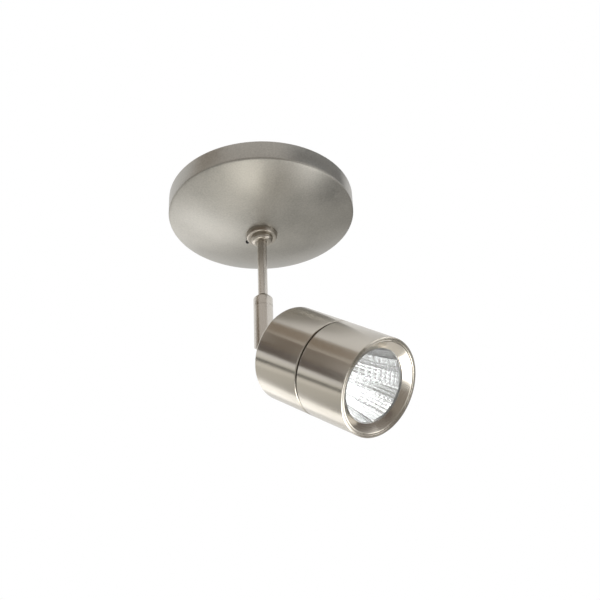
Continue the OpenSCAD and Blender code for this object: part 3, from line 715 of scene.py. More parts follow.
EXTRUDED_ALUMINIUM = Metal("extruded_aluminium_finish", (0.66, 0.66, 0.67), 0.34, Lay.DRAWN, axis=HEAD)
METALLISED = Metal(
    "metallised_finish", (0.93, 0.93, 0.935), 0.1, mark_size=1.4 * MM, mark_depth=0.0006 * MM,
    mark_contrast=0.02, patch_contrast=0.015, axis=HEAD,
)
WHITE_PLASTIC = Moulding("white_plastic_finish", (0.78, 0.78, 0.76), 0.5)
IVORY_PLASTIC = Moulding("ivory_plastic_finish", (0.76, 0.72, 0.6), 0.4, skin_size=0.8 * MM)
BEARING_PLASTIC = Moulding("bearing_plastic_finish", (0.82, 0.82, 0.78), 0.35, waxy=0.3)
SOLDER_MASK = Moulding("solder_mask_finish", (0.02, 0.16, 0.07), 0.35, mottle=0.25)
CABLE_SHEATH = Moulding("cable_sheath_finish", (0.7, 0.7, 0.68), 0.55)
LEAD_INSULATION = Moulding("lead_insulation_finish", (0.5, 0.03, 0.03), 0.35)
THERMAL_PAD = Moulding("thermal_pad_finish", (0.42, 0.45, 0.47), 0.8)
WHITE_BOARD = Moulding("white_board_finish", (0.8, 0.8, 0.78), 0.4)
PHOSPHOR = Moulding("phosphor_finish", (0.78, 0.58, 0.1), 0.3, waxy=0.4)
BLACK_RUBBER = Moulding("black_rubber_finish", (0.02, 0.02, 0.02), 0.65)
CLEAR_SILICONE = Moulding("clear_silicone_finish", (0.78, 0.78, 0.76), 0.4, waxy=0.6)
CLEAR_GLASS = ClearGlass()


# Sub-assemblies


class SubAssembly:
    """Pieces that ride on one body."""

    body: str = ""

    def install(self, piece: bpy.types.Object, node: str, finish: Finish) -> bpy.types.Object:
        """Puts a new piece on the fixture in place of a CAD node.

        Args:
            piece: the finished mesh, in place.
            node: the node that it stands for.
            finish: its finish.

        Returns:
            The piece.
        """
        piece.data.materials.clear()
        piece.data.materials.append(finish.material())
        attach(piece, self.body)
        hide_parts(node)
        LOG.info("%s: new piece on %s, %d faces", piece.name, self.body, len(piece.data.polygons))
        return piece

    def dress(self, node: str, finish: Finish) -> None:
        """Gives a CAD node that stays as it is its finish."""
        frame["nodes"][node].data.materials[0] = finish.material()
        LOG.info("%s: dressed", node)

    def install_eased(self, name: str, node: str, edge: float, finish: Finish) -> bpy.types.Object:
        """Installs a copy of a CAD node with rounded edges in the node's place."""
        return self.install(eased_copy(name, node, edge), node, finish)

    def install_turned(
        self,
        name: str,
        node: str,
        outline: Outline,
        axis: Matrix,
        finish: Finish,
        cuts: Sequence[bpy.types.Object] = (),
        welds: Sequence[bpy.types.Object] = (),
    ) -> bpy.types.Object:
        """Turns an outline, cuts and welds what it carries, sets it in place and installs it.

        Args:
            name: name of the new piece.
            node: the node that it stands for.
            outline: closed outline about the axis.
            axis: where the piece's axis lies.
            finish: its finish.
            cuts: solids to cut out of it, on the bench.
            welds: solids to weld onto it, on the bench.

        Returns:
            The piece.
        """
        piece = turn(name, outline)
        for solid in cuts:
            work(piece, solid)
        for solid in welds:
            work(piece, solid, Joining.WELD)
        lay_brush_map(piece)
        place(piece, axis)
        smooth(piece)
        return self.install(piece, node, finish)


@dataclass(frozen=True)
class Bayonet:
    """Lugs on the barrel's spigot, and the slots in the housing that they turn in."""

    count: int = 3
    rise: float = 1.1 * MM
    width: float = 2.4 * MM
    span: float = math.radians(24)
    inset: float = 0.6 * MM
    root: float = 0.5 * MM
    clear: float = 0.3 * MM
    end_clear: float = math.radians(1.5)
    spigot_clear: float = 0.1 * MM
    housing_wall: float = 2.5 * MM

    def spigot(self) -> float:
        """Radius of the barrel's spigot."""
        return Extent.of("rear_housing", HEAD).outer - self.housing_wall - self.spigot_clear

    def starts(self) -> list[float]:
        """Bearings at which the lugs start."""
        return [math.tau * i / self.count for i in range(self.count)]

    def lugs(self) -> list[bpy.types.Object]:
        """Models the lugs.

        Returns:
            The lugs, upright on the bench.
        """
        low = Extent.of("front_barrel", HEAD).low + self.inset
        inner, outer = self.spigot() - self.root, self.spigot() + self.rise
        return [sector(low, low + self.width, inner, outer, start, self.span) for start in self.starts()]

    def slots(self) -> list[bpy.types.Object]:
        """Models the space of the slots and of the ways into them.

        Returns:
            Solids to cut out of the housing, upright on the bench.
        """
        low = Extent.of("front_barrel", HEAD).low + self.inset - self.clear
        high = low + self.width + 2 * self.clear
        mouth = Extent.of("rear_housing", HEAD).high + MM
        swing = math.radians(joint("barrel_twist")["range_deg"][1])
        inner, outer = self.spigot() - self.root, self.spigot() + self.rise + self.clear
        span, free = self.span + 2 * self.end_clear, self.end_clear
        tracks = [sector(low, high, inner, outer, start - free, span + swing) for start in self.starts()]
        ways = [sector(low, mouth, inner, outer, start + swing - free, span) for start in self.starts()]
        return [*tracks, *ways]


BAYONET = Bayonet()


@dataclass
class CeilingMount(SubAssembly):
    """Plate on the ceiling box, driver, terminals and the ferrule that the stem turns in."""

    body: str = "ceiling_mount"
    nose_round: float = 2.6 * MM
    floor: float = 3.2 * MM
    edge: float = 0.25 * MM
    sheet_edge: float = 0.2 * MM
    screw_edge: float = 0.1 * MM
    thread_pitch: float = 1.0 * MM
    thread_depth: float = 0.55 * MM

    def ferrule_outline(self) -> Outline:
        """Section of the ferrule: rounded nose, a floor round the stem and a bore for the nipple.

        Returns:
            A closed outline.
        """
        reach, bore = Extent.of("swivel_ferrule"), Extent.of("threaded_nipple").outer
        nose = (reach.outer - self.nose_round, reach.low + self.nose_round)
        corners = [
            (reach.outer, reach.high),
            *arc(nose, self.nose_round, 0, -90, 10),
            (reach.inner, reach.low),
            (reach.inner, reach.low + self.floor),
            (bore, reach.low + self.floor),
            (bore, reach.high),
        ]
        return eased(corners, self.edge)

    def model_nipple(self) -> bpy.types.Object:
        """Models the nipple: a tube with a thread cut over its whole length.

        Returns:
            The nipple, in place.
        """
        tube = Extent.of("threaded_nipple")
        skin = tube.outer + self.screw_edge
        end = tube.outer - self.thread_depth
        lead = skin - end
        nipple = turn("nipple", eased([
            (tube.inner, tube.low),
            (end, tube.low),
            (skin, tube.low + lead),
            (skin, tube.high - lead),
            (end, tube.high),
            (tube.inner, tube.high),
        ], self.screw_edge))
        rod = thread(tube.outer, self.thread_depth, self.thread_pitch, tube.low, tube.high)
        work(nipple, rod, Joining.TRIM)
        tidy_mesh(nipple)
        lay_brush_map(nipple)
        smooth(nipple)
        return nipple

    def build(self) -> None:
        """Builds and dresses the ceiling mount."""
        # The ferrule takes the collar's nickel, which is darkened with painted shade.
        self.install_turned("ferrule", "swivel_ferrule", self.ferrule_outline(), UPRIGHT, SHADED_COLLAR_NICKEL)
        self.install(self.model_nipple(), "threaded_nipple", BRASS)
        for name, node, edge, finish in (
            ("box_plate", "mounting_plate", self.sheet_edge, ZINC_PLATE),
            ("jam_nut", "locknut", self.sheet_edge, BRASS),
            ("driver_tray", "driver_case", self.sheet_edge, WHITE_PLASTIC),
            ("driver_lid", "driver_cover", self.sheet_edge, WHITE_PLASTIC),
            ("wire_terminal", "terminal_block", self.sheet_edge, IVORY_PLASTIC),
            ("driver_board", "driver_circuit", self.screw_edge, SOLDER_MASK),
            ("toothed_washer", "lock_washer", self.screw_edge, ZINC_PLATE),
            ("lid_screws", "driver_screws", self.screw_edge, ZINC_PLATE),
            ("clamp_screw", "terminal_screw", self.screw_edge, ZINC_PLATE),
            ("earth_screw", "ground_screw", self.screw_edge, GREEN_ZINC),
        ):
            self.install_eased(name, node, edge, finish)
        self.dress("pan_washer", BEARING_PLASTIC)
        self.dress("pan_stop_pin", BLACK_OXIDE)


@dataclass
class CanopyCover(SubAssembly):
    """Spun canopy, the collar that holds it up and the collar's set screw."""

    body: str = "canopy"
    rim_height: float = 14 * MM
    wall: float = 1.2 * MM
    crease_round: float = 1.6 * MM
    least_round: float = 0.2 * MM
    flat_margin: float = 0.6 * MM
    rim_edge: float = 0.35 * MM
    collar_face: float = 9.9 * MM
    collar_chamfer: float = 0.4 * MM
    collar_edge: float = 0.2 * MM
    screw_edge: float = 0.1 * MM
    dome_steps: int = 40
    screw_clear: float = 0.03 * MM

    def shell_side(self, depth: float) -> Outline:
        """One side of the shell's section.

        Args:
            depth: how far it lies under the outer face.

        Returns:
            Points from the ceiling plane down the rim, round the crease, over the dome to the hole.
        """
        shell = Extent.of("canopy")
        flat = Extent.of("collar").outer + self.flat_margin
        dome_drop = -shell.low - self.rim_height
        centre = ((shell.outer**2 - flat**2) / dome_drop + shell.low - self.rim_height) / 2
        ball = math.hypot(flat, centre - shell.low) - depth
        band = shell.outer - depth
        crease = max(self.crease_round - depth, self.least_round)
        crease_height = centre - math.sqrt((ball - crease) ** 2 - (band - crease) ** 2)
        crease_end = math.degrees(math.atan2(crease_height - centre, band - crease))
        flat_start = -math.degrees(math.acos(flat / ball))
        return [
            (band, 0.0),
            *arc((band - crease, crease_height), crease, 0, crease_end, 8),
            *arc((0.0, centre), ball, crease_end, flat_start, self.dome_steps)[1:],
            (flat, shell.low + depth),
            (shell.inner, shell.low + depth),
        ]

    def collar_outline(self) -> Outline:
        """Section of the tapered collar.

        Returns:
            A closed outline.
        """
        ring = Extent.of("collar")
        corners = [
            (ring.inner, ring.high),
            (ring.outer, ring.high),
            (self.collar_face + self.collar_chamfer / 2, ring.low + self.collar_chamfer),
            (self.collar_face - self.collar_chamfer, ring.low),
            (ring.inner, ring.low),
        ]
        return eased(corners, self.collar_edge)

    def screw_hole(self) -> bpy.types.Object:
        """Space of the set screw's hole through the collar's wall.

        Returns:
            A solid to cut out of the collar.
        """
        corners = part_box("collar_set_screw")
        middle = (Vector(corners[0]) + Vector(corners[1])) / 2
        reach = Extent.of("collar").outer
        radius = (corners[1][2] - corners[0][2]) / 2 + self.screw_clear
        past = reach + MM
        hole = turn("screw_hole", [(0.0, 0.0), (radius, 0.0), (radius, past), (0.0, past)], HOLE_STEPS)
        outward = Vector((middle.x, middle.y, 0)).to_track_quat("Z", "Y").to_matrix().to_4x4()
        return place(hole, Matrix.Translation((0, 0, middle.z)) @ outward)

    def build(self) -> None:
        """Builds and dresses the canopy, the collar and its screw."""
        section = eased([*self.shell_side(0.0), *reversed(self.shell_side(self.wall))], self.rim_edge)
        self.install_turned("canopy_shell", "canopy", section, UPRIGHT, SATIN_NICKEL)
        hole = self.screw_hole()
        # The collar's nickel is darkened with painted shade.
        self.install_turned("slip_collar", "collar", self.collar_outline(), UPRIGHT, SHADED_COLLAR_NICKEL, [hole])
        self.install_eased("grub_screw", "collar_set_screw", self.screw_edge, BLACK_OXIDE)


@dataclass
class StemAssembly(SubAssembly):
    """Stem, cap and upper knuckle, which pan together."""

    body: str = "stem"
    cap_lip: float = 0.4 * MM
    cap_taper: float = 2.7 * MM
    spigot_room: float = 4.9 * MM
    spigot_wall: float = 1.55 * MM
    bore_clear: float = 0.05 * MM
    edge: float = 0.22 * MM
    screw_edge: float = 0.1 * MM

    def cap_outline(self) -> Outline:
        """Section of the cap: tapered shoulder outside, stem bore and spigot socket inside.

        Returns:
            A closed outline.
        """
        cap = Extent.of("stem_cap")
        stem = cap.inner - self.bore_clear
        socket = stem + self.spigot_wall
        corners = [
            (cap.inner, cap.high),
            (stem + self.cap_lip, cap.high),
            (cap.outer, cap.high - self.cap_taper),
            (cap.outer, cap.low),
            (socket, cap.low),
            (socket, cap.low + self.spigot_room),
            (cap.inner, cap.low + self.spigot_room),
        ]
        return eased(corners, self.edge)

    def build(self) -> None:
        """Builds and dresses the stem, its cap and the upper knuckle."""
        self.install_turned("stem_cap_turned", "stem_cap", self.cap_outline(), UPRIGHT, SMOOTH_NICKEL)
        self.dress("stem", DRAWN_NICKEL)
        self.install_eased("upper_lap", "upper_knuckle", self.edge, DRAWN_NICKEL)
        self.dress("stem_cable", CABLE_SHEATH)
        self.install_eased("hinge_screw", "pivot_screw", self.screw_edge, BLACK_OXIDE)
        self.dress("friction_washer", BEARING_PLASTIC)


@dataclass
class LampHead(SubAssembly):
    """Lower knuckle, rear housing and the light engine, which tilt together."""

    body: str = "head"
    wall: float = 2.5 * MM
    back_wall: float = 3 * MM
    rear_round: float = 2 * MM
    mouth_chamfer: float = 0.4 * MM
    edge: float = 0.2 * MM
    screw_edge: float = 0.1 * MM
    screw_count: int = 3
    screw_circle: float = 19 * MM
    screw_hole: float = 1.55 * MM
    countersink: float = 3.05 * MM
    countersink_depth: float = 1.5 * MM
    bowl_panels: int = 15
    panel_facets: int = 3
    bowl_rings: int = 14
    ring_spread: float = 1.1
    bowl_turn: float = math.radians(17.5)
    bowl_wall: float = 0.9 * MM
    corner_reach: float = 1.01
    seam_width: float = 0.28 * MM
    seam_depth: float = 0.3 * MM
    facet_border: float = 0.55 * MM
    facet_rise: float = 0.1 * MM
    flange_reach: float = 24.1 * MM
    facet_angle: float = math.radians(15)

    def housing_outline(self) -> Outline:
        """Section of the rear cup.

        Returns:
            A closed outline.
        """
        cup = Extent.of("rear_housing", HEAD)
        bore = cup.outer - self.wall
        corners = [
            (cup.inner, cup.low),
            *arc((cup.outer - self.rear_round, cup.low + self.rear_round), self.rear_round, -90, 0, 8),
            (cup.outer, cup.high - self.mouth_chamfer),
            (cup.outer - self.mouth_chamfer, cup.high),
            (bore, cup.high),
            (bore, cup.low + self.back_wall),
            (cup.inner, cup.low + self.back_wall),
        ]
        return eased(corners, self.edge)

    def screw_holes(self) -> list[bpy.types.Object]:
        """Space of the three countersunk holes in the back wall.

        Returns:
            Solids to cut out of the housing, upright on the bench.
        """
        back = Extent.of("rear_housing", HEAD).low
        holes = []
        for i in range(self.screw_count):
            outline = [
                (0.0, back - self.edge),
                (self.countersink, back - self.edge),
                (self.countersink, back),
                (self.screw_hole, back + self.countersink_depth),
                (self.screw_hole, back + self.back_wall + self.edge),
                (0.0, back + self.back_wall + self.edge),
            ]
            bearing = math.pi + math.tau * i / self.screw_count
            where = Matrix.Rotation(bearing, 4, "Z") @ Matrix.Translation((self.screw_circle, 0, 0))
            holes.append(place(turn("countersink", outline, COUNTERSINK_STEPS), where))
        return holes

    def bowl_radius(self, height: float, bowl: Extent) -> float:
        """Inner radius of the paraboloid bowl.

        Args:
            height: place along the head's axis.
            bowl: extent of the CAD reflector along that axis.

        Returns:
            The radius at that height.
        """
        mouth = bowl.outer - self.bowl_wall
        share = (height - bowl.low) / (bowl.high - bowl.low)
        return math.sqrt(bowl.inner**2 + (mouth**2 - bowl.inner**2) * share)

    def grow_bowl(self, bowl: Extent) -> bpy.types.Object:
        """Draws the bowl's flat panels, ring by ring from the neck to the mouth.

        Args:
            bowl: extent of the CAD reflector along the head's axis.

        Returns:
            An open surface whose faces look inwards.
        """
        shares = [(i / self.bowl_rings) ** self.ring_spread for i in range(self.bowl_rings + 1)]
        heights = [bowl.low + (bowl.high - bowl.low) * share for share in shares]
        neck = self.bowl_radius(heights[0], bowl) * self.corner_reach
        bpy.ops.object.select_all(action="DESELECT")
        bpy.ops.mesh.primitive_circle_add(
            vertices=self.bowl_panels, radius=neck, location=(0, 0, bowl.low), rotation=(0, 0, self.bowl_turn)
        )
        piece = bpy.context.object
        piece.name = piece.data.name = "faceted_reflector"
        bpy.ops.object.transform_apply(location=True, rotation=True)
        with editing(piece):
            bpy.ops.mesh.subdivide(number_cuts=self.panel_facets - 1)
            for below, above in zip(heights, heights[1:]):
                grow = self.bowl_radius(above, bowl) / self.bowl_radius(below, bowl)
                bpy.ops.mesh.extrude_edges_move(TRANSFORM_OT_translate={"value": (0, 0, above - below)})
                bpy.ops.transform.resize(value=(grow, grow, 1), center_override=(0, 0, above))
            bpy.ops.mesh.select_all(action="SELECT")
            bpy.ops.mesh.normals_make_consistent(inside=True)
        return piece

    def off_corner(self, point: Vector) -> float:
        """How far round the axis a point lies from the nearest corner between two panels.

        Args:
            point: the point, on the bench.

        Returns:
            The distance in metres.
        """
        panel = math.tau / self.bowl_panels
        turned = (math.atan2(point.y, point.x) - self.bowl_turn - math.pi / 2) / panel
        return abs(turned - round(turned)) * panel * math.hypot(point.x, point.y)

    def looks_in(self, face: bpy.types.MeshPolygon) -> bool:
        """Whether a face of the bowl looks towards its axis."""
        outward = face.normal.xy.dot(face.center.xy)
        return outward < -0.3 * face.center.xy.length

    def model_bowl(self) -> bpy.types.Object:
        """Models the faceted reflector: panels of small pillow facets, seams between them, a front flange.

        Returns:
            The reflector, in place.
        """
        bowl = Extent.of("reflector", HEAD)
        piece = self.grow_bowl(bowl)
        with editing(piece, lambda point: self.off_corner(point.co) < MERGE_DISTANCE):
            bpy.ops.mesh.bevel(offset=self.seam_width, segments=1)
        mouth = [math.hypot(*v.co.xy) for v in piece.data.vertices if v.co.z > bowl.high - MERGE_DISTANCE]
        grow = self.flange_reach * len(mouth) / sum(mouth)
        with editing(piece, lambda point: point.co.z > bowl.high - MERGE_DISTANCE):
            bpy.ops.mesh.extrude_edges_move(TRANSFORM_OT_translate={"value": (0, 0, 0)})
            bpy.ops.transform.tosphere(value=1)
            bpy.ops.transform.resize(value=(grow, grow, 1), center_override=(0, 0, bowl.high))
        apply_modifier(piece, "SOLIDIFY", thickness=self.bowl_wall, offset=-1.0)
        in_seam, on_facet = 0.6 * self.seam_width, 2 * self.seam_width
        with editing(piece, lambda f: self.looks_in(f) and self.off_corner(f.center) < in_seam, Part.FACES):
            bpy.ops.mesh.extrude_region_shrink_fatten(TRANSFORM_OT_shrink_fatten={"value": -self.seam_depth})
        with editing(piece, lambda f: self.looks_in(f) and self.off_corner(f.center) > on_facet, Part.FACES):
            for border, rise in ((1, 1), (1 / 2, 1 / 4)):
                width, depth = self.facet_border * border, self.facet_rise * rise
                bpy.ops.mesh.inset(thickness=width, depth=depth, use_individual=True)
        place(piece, HEAD)
        smooth(piece, self.facet_angle)
        return piece

    def build(self) -> None:
        """Builds and dresses the head."""
        cuts = [*self.screw_holes(), *BAYONET.slots()]
        self.install_turned("rear_cup", "rear_housing", self.housing_outline(), HEAD, TURNED_NICKEL, cuts)
        self.install(self.model_bowl(), "reflector", METALLISED)
        self.install_eased("lower_lap", "lower_knuckle", self.edge, SMOOTH_NICKEL_HEAD)
        self.install_eased("stud_nut", "knuckle_nut", self.edge, ZINC_PLATE)
        self.install_eased("chip_holder", "emitter_holder", self.edge, WHITE_PLASTIC)
        self.install_eased("back_screws", "heat_sink_screws", self.screw_edge, BLACK_OXIDE)
        for node in ("knuckle_washer", "holder_screws"):
            self.dress(node, ZINC_PLATE)
        self.dress("tension_washer", BLACK_OXIDE)
        self.dress("heat_sink", EXTRUDED_ALUMINIUM)
        self.dress("thermal_pad", THERMAL_PAD)
        self.dress("emitter_board", WHITE_BOARD)
        self.dress("emitter", PHOSPHOR)
        self.dress("emitter_leads", LEAD_INSULATION)


@dataclass
class FrontBarrel(SubAssembly):
    """Front barrel with the lens, its gasket and the bezel, which twist off together."""

    body: str = "barrel"
    lip: float = 2 * MM
    lip_round: float = 0.4 * MM
    lip_inner_round: float = 0.3 * MM
    chamfer: float = 0.4 * MM
    spigot_length: float = 9.5 * MM
    spigot_wall: float = 2.5 * MM
    relief_depth: float = 1.1 * MM
    relief_width: float = 1.3 * MM
    web: float = 3 * MM
    thread_depth: float = 0.8 * MM
    ledge: float = 1.8 * MM
    ledge_inner: float = 24.2 * MM
    bezel_rim: float = 0.7 * MM
    bezel_edge: float = 0.25 * MM
    edge: float = 0.2 * MM

    def barrel_outline(self) -> Outline:
        """Section of the barrel: spigot, groove wall, rounded front lip, lens ledge and bore.

        Returns:
            A closed outline.
        """
        tube = Extent.of("front_barrel", HEAD)
        gasket = Extent.of("lens_gasket", HEAD)
        spigot, groove = BAYONET.spigot(), Extent.of("barrel_o_ring", HEAD)
        shoulder = tube.low + self.spigot_length
        thread = tube.outer - self.lip
        bore = thread - self.thread_depth
        outer_lip = (tube.outer - self.lip_round, tube.high - self.lip_round)
        inner_lip = (thread + self.lip_inner_round, tube.high - self.lip_inner_round)
        corners = [
            (spigot - self.spigot_wall, tube.low),
            (spigot, tube.low),
            (spigot, groove.low),
            (groove.inner, groove.low),
            (groove.inner, groove.high),
            (spigot, groove.high),
            (spigot, shoulder - self.relief_width),
            (spigot - self.relief_depth, shoulder - self.relief_width),
            (spigot - self.relief_depth, shoulder),
            (tube.outer - self.chamfer, shoulder),
            (tube.outer, shoulder + self.chamfer),
            *arc(outer_lip, self.lip_round, 0, 90, 12),
            *arc(inner_lip, self.lip_inner_round, 90, 180, 4),
            (thread, gasket.low),
            (self.ledge_inner, gasket.low),
            (self.ledge_inner, gasket.low - self.ledge),
            (bore, gasket.low - self.ledge),
            (bore, shoulder + self.web),
            (spigot - self.spigot_wall, shoulder + self.web),
        ]
        return eased(corners, self.edge)

    def bezel_outline(self) -> Outline:
        """Section of the bezel: a wide bevel between a narrow rim and the opening.

        Returns:
            A closed outline.
        """
        ring = Extent.of("bezel_ring", HEAD)
        corners = [
            (ring.inner, ring.low),
            (ring.outer, ring.low),
            (ring.outer, ring.high),
            (ring.outer - self.bezel_rim, ring.high),
            (ring.inner, ring.low + self.bezel_edge),
        ]
        return eased(corners, self.edge)

    def lens_outline(self) -> Outline:
        """Section of the flat lens.

        Returns:
            An outline from its axis out to its eased rim and back.
        """
        glass = Extent.of("lens", HEAD)
        corners = [(0.0, glass.low), (glass.outer, glass.low), (glass.outer, glass.high), (0.0, glass.high)]
        return eased(corners, self.edge)[:-1]

    def build(self) -> None:
        """Builds and dresses the barrel."""
        self.install_turned(
            "barrel_tube", "front_barrel", self.barrel_outline(), HEAD, TURNED_NICKEL, welds=BAYONET.lugs()
        )
        self.install_turned("bevelled_bezel", "bezel_ring", self.bezel_outline(), HEAD, BEZEL_NICKEL)
        self.install_turned("lens_disc", "lens", self.lens_outline(), HEAD, CLEAR_GLASS)
        self.dress("barrel_o_ring", BLACK_RUBBER)
        self.dress("lens_gasket", CLEAR_SILICONE)


# Studio


def toward(bearing: float, elevation: float) -> Vector:
    """Direction from the object, with bearing 0 towards -Y and 90 towards +X.

    Args:
        bearing: degrees round the upright axis.
        elevation: degrees above the horizon.

    Returns:
        A vector of length 1.
    """
    b, e = math.radians(bearing), math.radians(elevation)
    return Vector((math.sin(b) * math.cos(e), -math.cos(b) * math.cos(e), math.sin(e)))


BAND_RIGHT = Vector((Extent.of("canopy").outer, 0, -7 * MM))
HEAD_SIDE = HEAD @ Vector((0, -Extent.of("rear_housing", HEAD).outer, 65 * MM))
FRONT_MIDDLE = sum((Vector(corner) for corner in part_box("bezel_ring")), Vector()) / 2


@dataclass(frozen=True)
class Card:
    """Flat card that shows only in reflections, as seen from the object."""

    name: str
    bearing: float
    elevation: float
    width: float
    height: float
    tone: Colour
    tilt: float = 0.0
    distance: float = 1.6
    seen_from: Vector | None = None

    def set_up(self, centre: Vector) -> bpy.types.Object:
        """Stands the card in the studio, facing a point.

        Args:
            centre: the point that it faces, unless it has its own.

        Returns:
            The card.
        """
        centre = self.seen_from or centre
        away = toward(self.bearing, self.elevation)
        facing = (-away).to_track_quat("Z", "Y").to_matrix().to_4x4()
        turned = facing @ Matrix.Rotation(math.radians(self.tilt), 4, "Z")
        size = [2 * self.distance * math.tan(math.radians(a) / 2) for a in (self.width, self.height)]
        bpy.ops.object.select_all(action="DESELECT")
        bpy.ops.mesh.primitive_plane_add(size=1)
        card = bpy.context.object
        card.name = self.name
        where = Matrix.Translation(centre + away * self.distance)
        place(card, where @ turned @ Matrix.Diagonal((*size, 1, 1)))
        material = bpy.data.materials.new(self.name)
        material.use_nodes = True
        nodes = material.node_tree.nodes
        glow = nodes.new("ShaderNodeEmission")
        glow.inputs["Color"].default_value = (*self.tone, 1)
        material.node_tree.links.new(glow.outputs[0], nodes["Material Output"].inputs["Surface"])
        card.data.materials.append(material)
        card.visible_camera = card.visible_diffuse = card.visible_shadow = False
        return card


@dataclass(frozen=True)
class SoftBox:
    """Square area lamp that faces the object."""

    name: str
    bearing: float
    elevation: float
    width: float
    height: float
    brightness: float
    distance: float = 1.2
    seen_from: Vector | None = None

    def set_up(self, centre: Vector) -> bpy.types.Object:
        """Hangs the lamp in the studio, facing a point.

        Args:
            centre: the point that it lights, unless it has its own.

        Returns:
            The lamp.
        """
        centre = self.seen_from or centre
        away = toward(self.bearing, self.elevation)
        bpy.ops.object.light_add(type="AREA", location=centre + away * self.distance)
        lamp = bpy.context.object
        lamp.name = self.name
        lamp.rotation_euler = away.to_track_quat("Z", "Y").to_euler()
        lamp.data.shape = "RECTANGLE"
        lamp.data.size, lamp.data.size_y = self.width, self.height
        lamp.data.energy = self.brightness * math.pi * self.width * self.height
        lamp.visible_camera = False
        return lamp


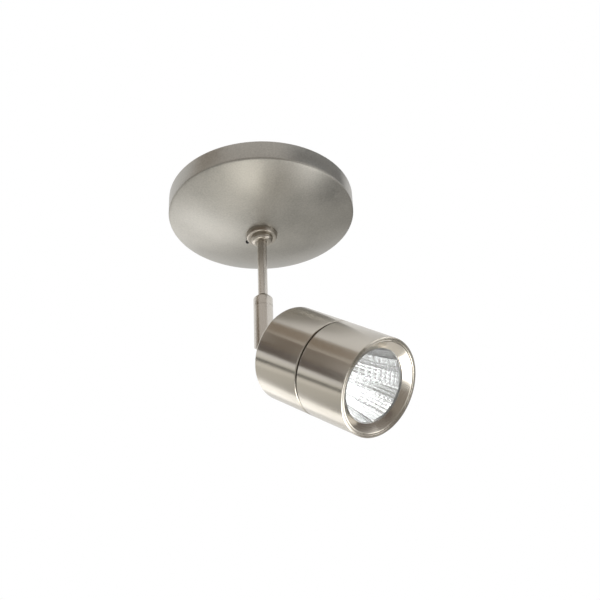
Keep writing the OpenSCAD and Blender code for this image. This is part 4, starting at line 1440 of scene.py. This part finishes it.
@dataclass
class Studio:
    """Floor, daylight, lamps, reflection cards and the camera."""

    centre: Vector = field(default_factory=lambda: Vector((0.02, 0.0, -0.1)))
    floor_drop: float = 0.9
    floor_size: float = 24.0
    floor_tone: Colour = (0.74, 0.735, 0.72)
    floor_glow: Colour = (0.48, 0.47, 0.445)
    floor_lift: float = 0.55
    fill: float = 0.62
    bearing: float = 36.5
    elevation: float = -32.27
    roll: float = 2.49
    target: Vector = field(default_factory=lambda: Vector((0.01942, 0.01437, -0.08255)))
    distance: float = 0.69647
    focal_px: float = 1063.25
    frame_px: float = 600.0
    cards: Sequence[Card] = (
        Card("upper_flag", -33, 49, 28, 20, (0.23, 0.165, 0.105)),
        Card("brown_flag", -38, 29, 30, 24, (0.66, 0.62, 0.56), tilt=20),
        Card("head_flag", -38, 28, 30, 22, (0.12, 0.08, 0.045), 20, 0.32, HEAD_SIDE),
        Card("red_flag", -47, 15, 40, 16, (0.055, 0.03, 0.02), tilt=35, distance=1.5),
        Card("left_flag", -76, -4, 40, 24, (0.74, 0.72, 0.67), tilt=20, distance=1.7),
        Card("first_line", -59, 3, 44, 3.0, (1.0, 0.98, 0.92), tilt=35, distance=1.4),
        Card("line_gap", -62.5, 0, 44, 4.5, (0.04, 0.037, 0.035), tilt=35, distance=1.45),
        Card("second_line", -68.5, -4, 44, 6, (1.0, 0.98, 0.92), tilt=35, distance=1.4),
        Card("front_wall", 30, 38, 86, 44, (0.66, 0.63, 0.6), distance=1.8),
        Card("front_strip", 32, 5, 90, 22, (0.15, 0.1, 0.065), distance=1.7),
        Card("band_flag", 108, 45, 90, 28, (0.0, 0.0, 0.0), distance=0.1, seen_from=BAND_RIGHT),
        Card("rim_shade", 175, -47, 24, 24, (0.0, 0.0, 0.0), distance=0.1, seen_from=BAND_RIGHT),
        Card("bezel_flag", 128, 24, 52, 16, (0.17, 0.145, 0.13), -6, 0.35, FRONT_MIDDLE),
        Card("side_flag", 88, 5, 42, 20, (0.2, 0.17, 0.15), -40, 0.35, FRONT_MIDDLE),
        Card("right_flag", 66, -28, 30, 40, (0.32, 0.285, 0.25), distance=0.5, seen_from=FRONT_MIDDLE),
        Card("lip_flag", 141, -19, 42, 26, (0.17, 0.16, 0.14), distance=0.7, seen_from=FRONT_MIDDLE),
        Card("rim_flag", 170, 8, 44, 34, (0.12, 0.105, 0.09)),
        Card("back_wall", -172, -31, 32, 38, (0.85, 0.83, 0.78), distance=0.1, seen_from=FRONT_MIDDLE),
        Card("low_flag", 172, -46, 48, 26, (0.0, 0.0, 0.0)),
        Card("back_flag", -150, -53, 32, 32, (0.14, 0.13, 0.115)),
        Card("left_floor", -96, -57, 30, 22, (1.0, 0.98, 0.92), distance=0.65),
        Card("foot_card", -100, -83, 34, 19, (3.6, 3.5, 3.25), distance=0.55),
    )
    lamps: Sequence[SoftBox] = (
        SoftBox("left_box", -113, -36, 0.7, 0.8, 1.65),
        SoftBox("side_box", -110, -3, 0.55, 0.4, 1.25, 1.5),
        SoftBox("under_box", 170, -79, 0.09, 0.09, 3.0, 0.12, FRONT_MIDDLE),
        SoftBox("bowl_box", 125, -57, 0.11, 0.15, 3.2, 0.14, FRONT_MIDDLE),
        SoftBox("mouth_box", 121, -4, 0.075, 0.09, 4.0, 0.25, FRONT_MIDDLE),
    )

    def lay_floor(self) -> None:
        """Lays the pale floor far below the fixture."""
        bpy.ops.object.select_all(action="DESELECT")
        bpy.ops.mesh.primitive_plane_add(size=self.floor_size, location=(0, 0, -self.floor_drop))
        floor = bpy.context.object
        floor.name = "studio_floor"
        graph = Graph("studio_floor")
        clouds = graph.noise(graph.local(UPRIGHT), 1.5, 2.0)
        dark, light = shade(self.floor_tone, 0.98), shade(self.floor_tone, 1.02)
        graph.feed(graph.shader, {"Base Color": graph.blend(clouds, dark, light), "Roughness": 0.9})
        self.brighten_reflection(graph)
        floor.data.materials.append(graph.material)

    def brighten_reflection(self, graph: Graph) -> None:
        """Lets metal and glass see the floor's glow, while the eye sees it pale and with its shadow.

        Args:
            graph: nodes of the floor's material.
        """
        path = graph.add("LightPath")
        seen = graph.math("MAXIMUM", path.outputs["Is Glossy Ray"], path.outputs["Is Transmission Ray"])
        lift = graph.math("MULTIPLY", path.outputs["Is Camera Ray"], self.floor_lift)
        paler = graph.add("Emission", {"Color": opaque(self.floor_tone), "Strength": lift})
        floor = graph.add("AddShader", {0: graph.shader.outputs[0], 1: paler.outputs[0]})
        glow = graph.add("Emission", {"Color": opaque(self.floor_glow)})
        mixed = graph.add("MixShader", {0: seen, 1: floor.outputs[0], 2: glow.outputs[0]})
        graph.feed(graph.tree.nodes["Material Output"], {"Surface": mixed.outputs[0]})

    def light_world(self) -> None:
        """Gives an even fill, and a white background to the camera, to metal and through glass."""
        world = bpy.data.worlds.new("studio")
        bpy.context.scene.world = world
        world.use_nodes = True
        tree = world.node_tree
        path = tree.nodes.new("ShaderNodeLightPath")
        seen = path.outputs["Is Camera Ray"]
        for ray in ("Is Glossy Ray", "Is Transmission Ray"):
            either = tree.nodes.new("ShaderNodeMath")
            either.operation = "MAXIMUM"
            tree.links.new(seen, either.inputs[0])
            tree.links.new(path.outputs[ray], either.inputs[1])
            seen = either.outputs[0]
        level = tree.nodes.new("ShaderNodeMapRange")
        level.inputs["To Min"].default_value = self.fill
        tree.links.new(seen, level.inputs["Value"])
        background = tree.nodes["Background"]
        background.inputs["Color"].default_value = (1, 1, 1, 1)
        tree.links.new(level.outputs["Result"], background.inputs["Strength"])

    def set_camera(self) -> None:
        """Stands the camera where the photograph was taken from."""
        back = toward(self.bearing, self.elevation)
        level = (-back).to_track_quat("-Z", "Y").to_matrix().to_4x4()
        camera = bpy.data.objects.new("camera", bpy.data.cameras.new("camera"))
        bpy.context.scene.collection.objects.link(camera)
        camera.data.sensor_width = 36
        camera.data.lens = camera.data.sensor_width * self.focal_px / self.frame_px
        camera.data.clip_start = 0.01
        rolled = level @ Matrix.Rotation(math.radians(-self.roll), 4, "Z")
        camera.matrix_world = Matrix.Translation(self.target + back * self.distance) @ rolled
        bpy.context.scene.camera = camera

    def build(self) -> None:
        """Sets up the whole studio."""
        self.lay_floor()
        self.light_world()
        for thing in (*self.cards, *self.lamps):
            thing.set_up(self.centre)
        self.set_camera()
        bpy.context.scene.view_settings.view_transform = "Standard"


def main() -> None:
    """Builds the sub-assemblies in order and sets up the studio."""
    logging.basicConfig(level=logging.INFO, format="%(message)s")
    for assembly in (CeilingMount(), CanopyCover(), StemAssembly(), LampHead(), FrontBarrel()):
        assembly.build()
    Studio().build()


if __name__ == "__main__":
    main()
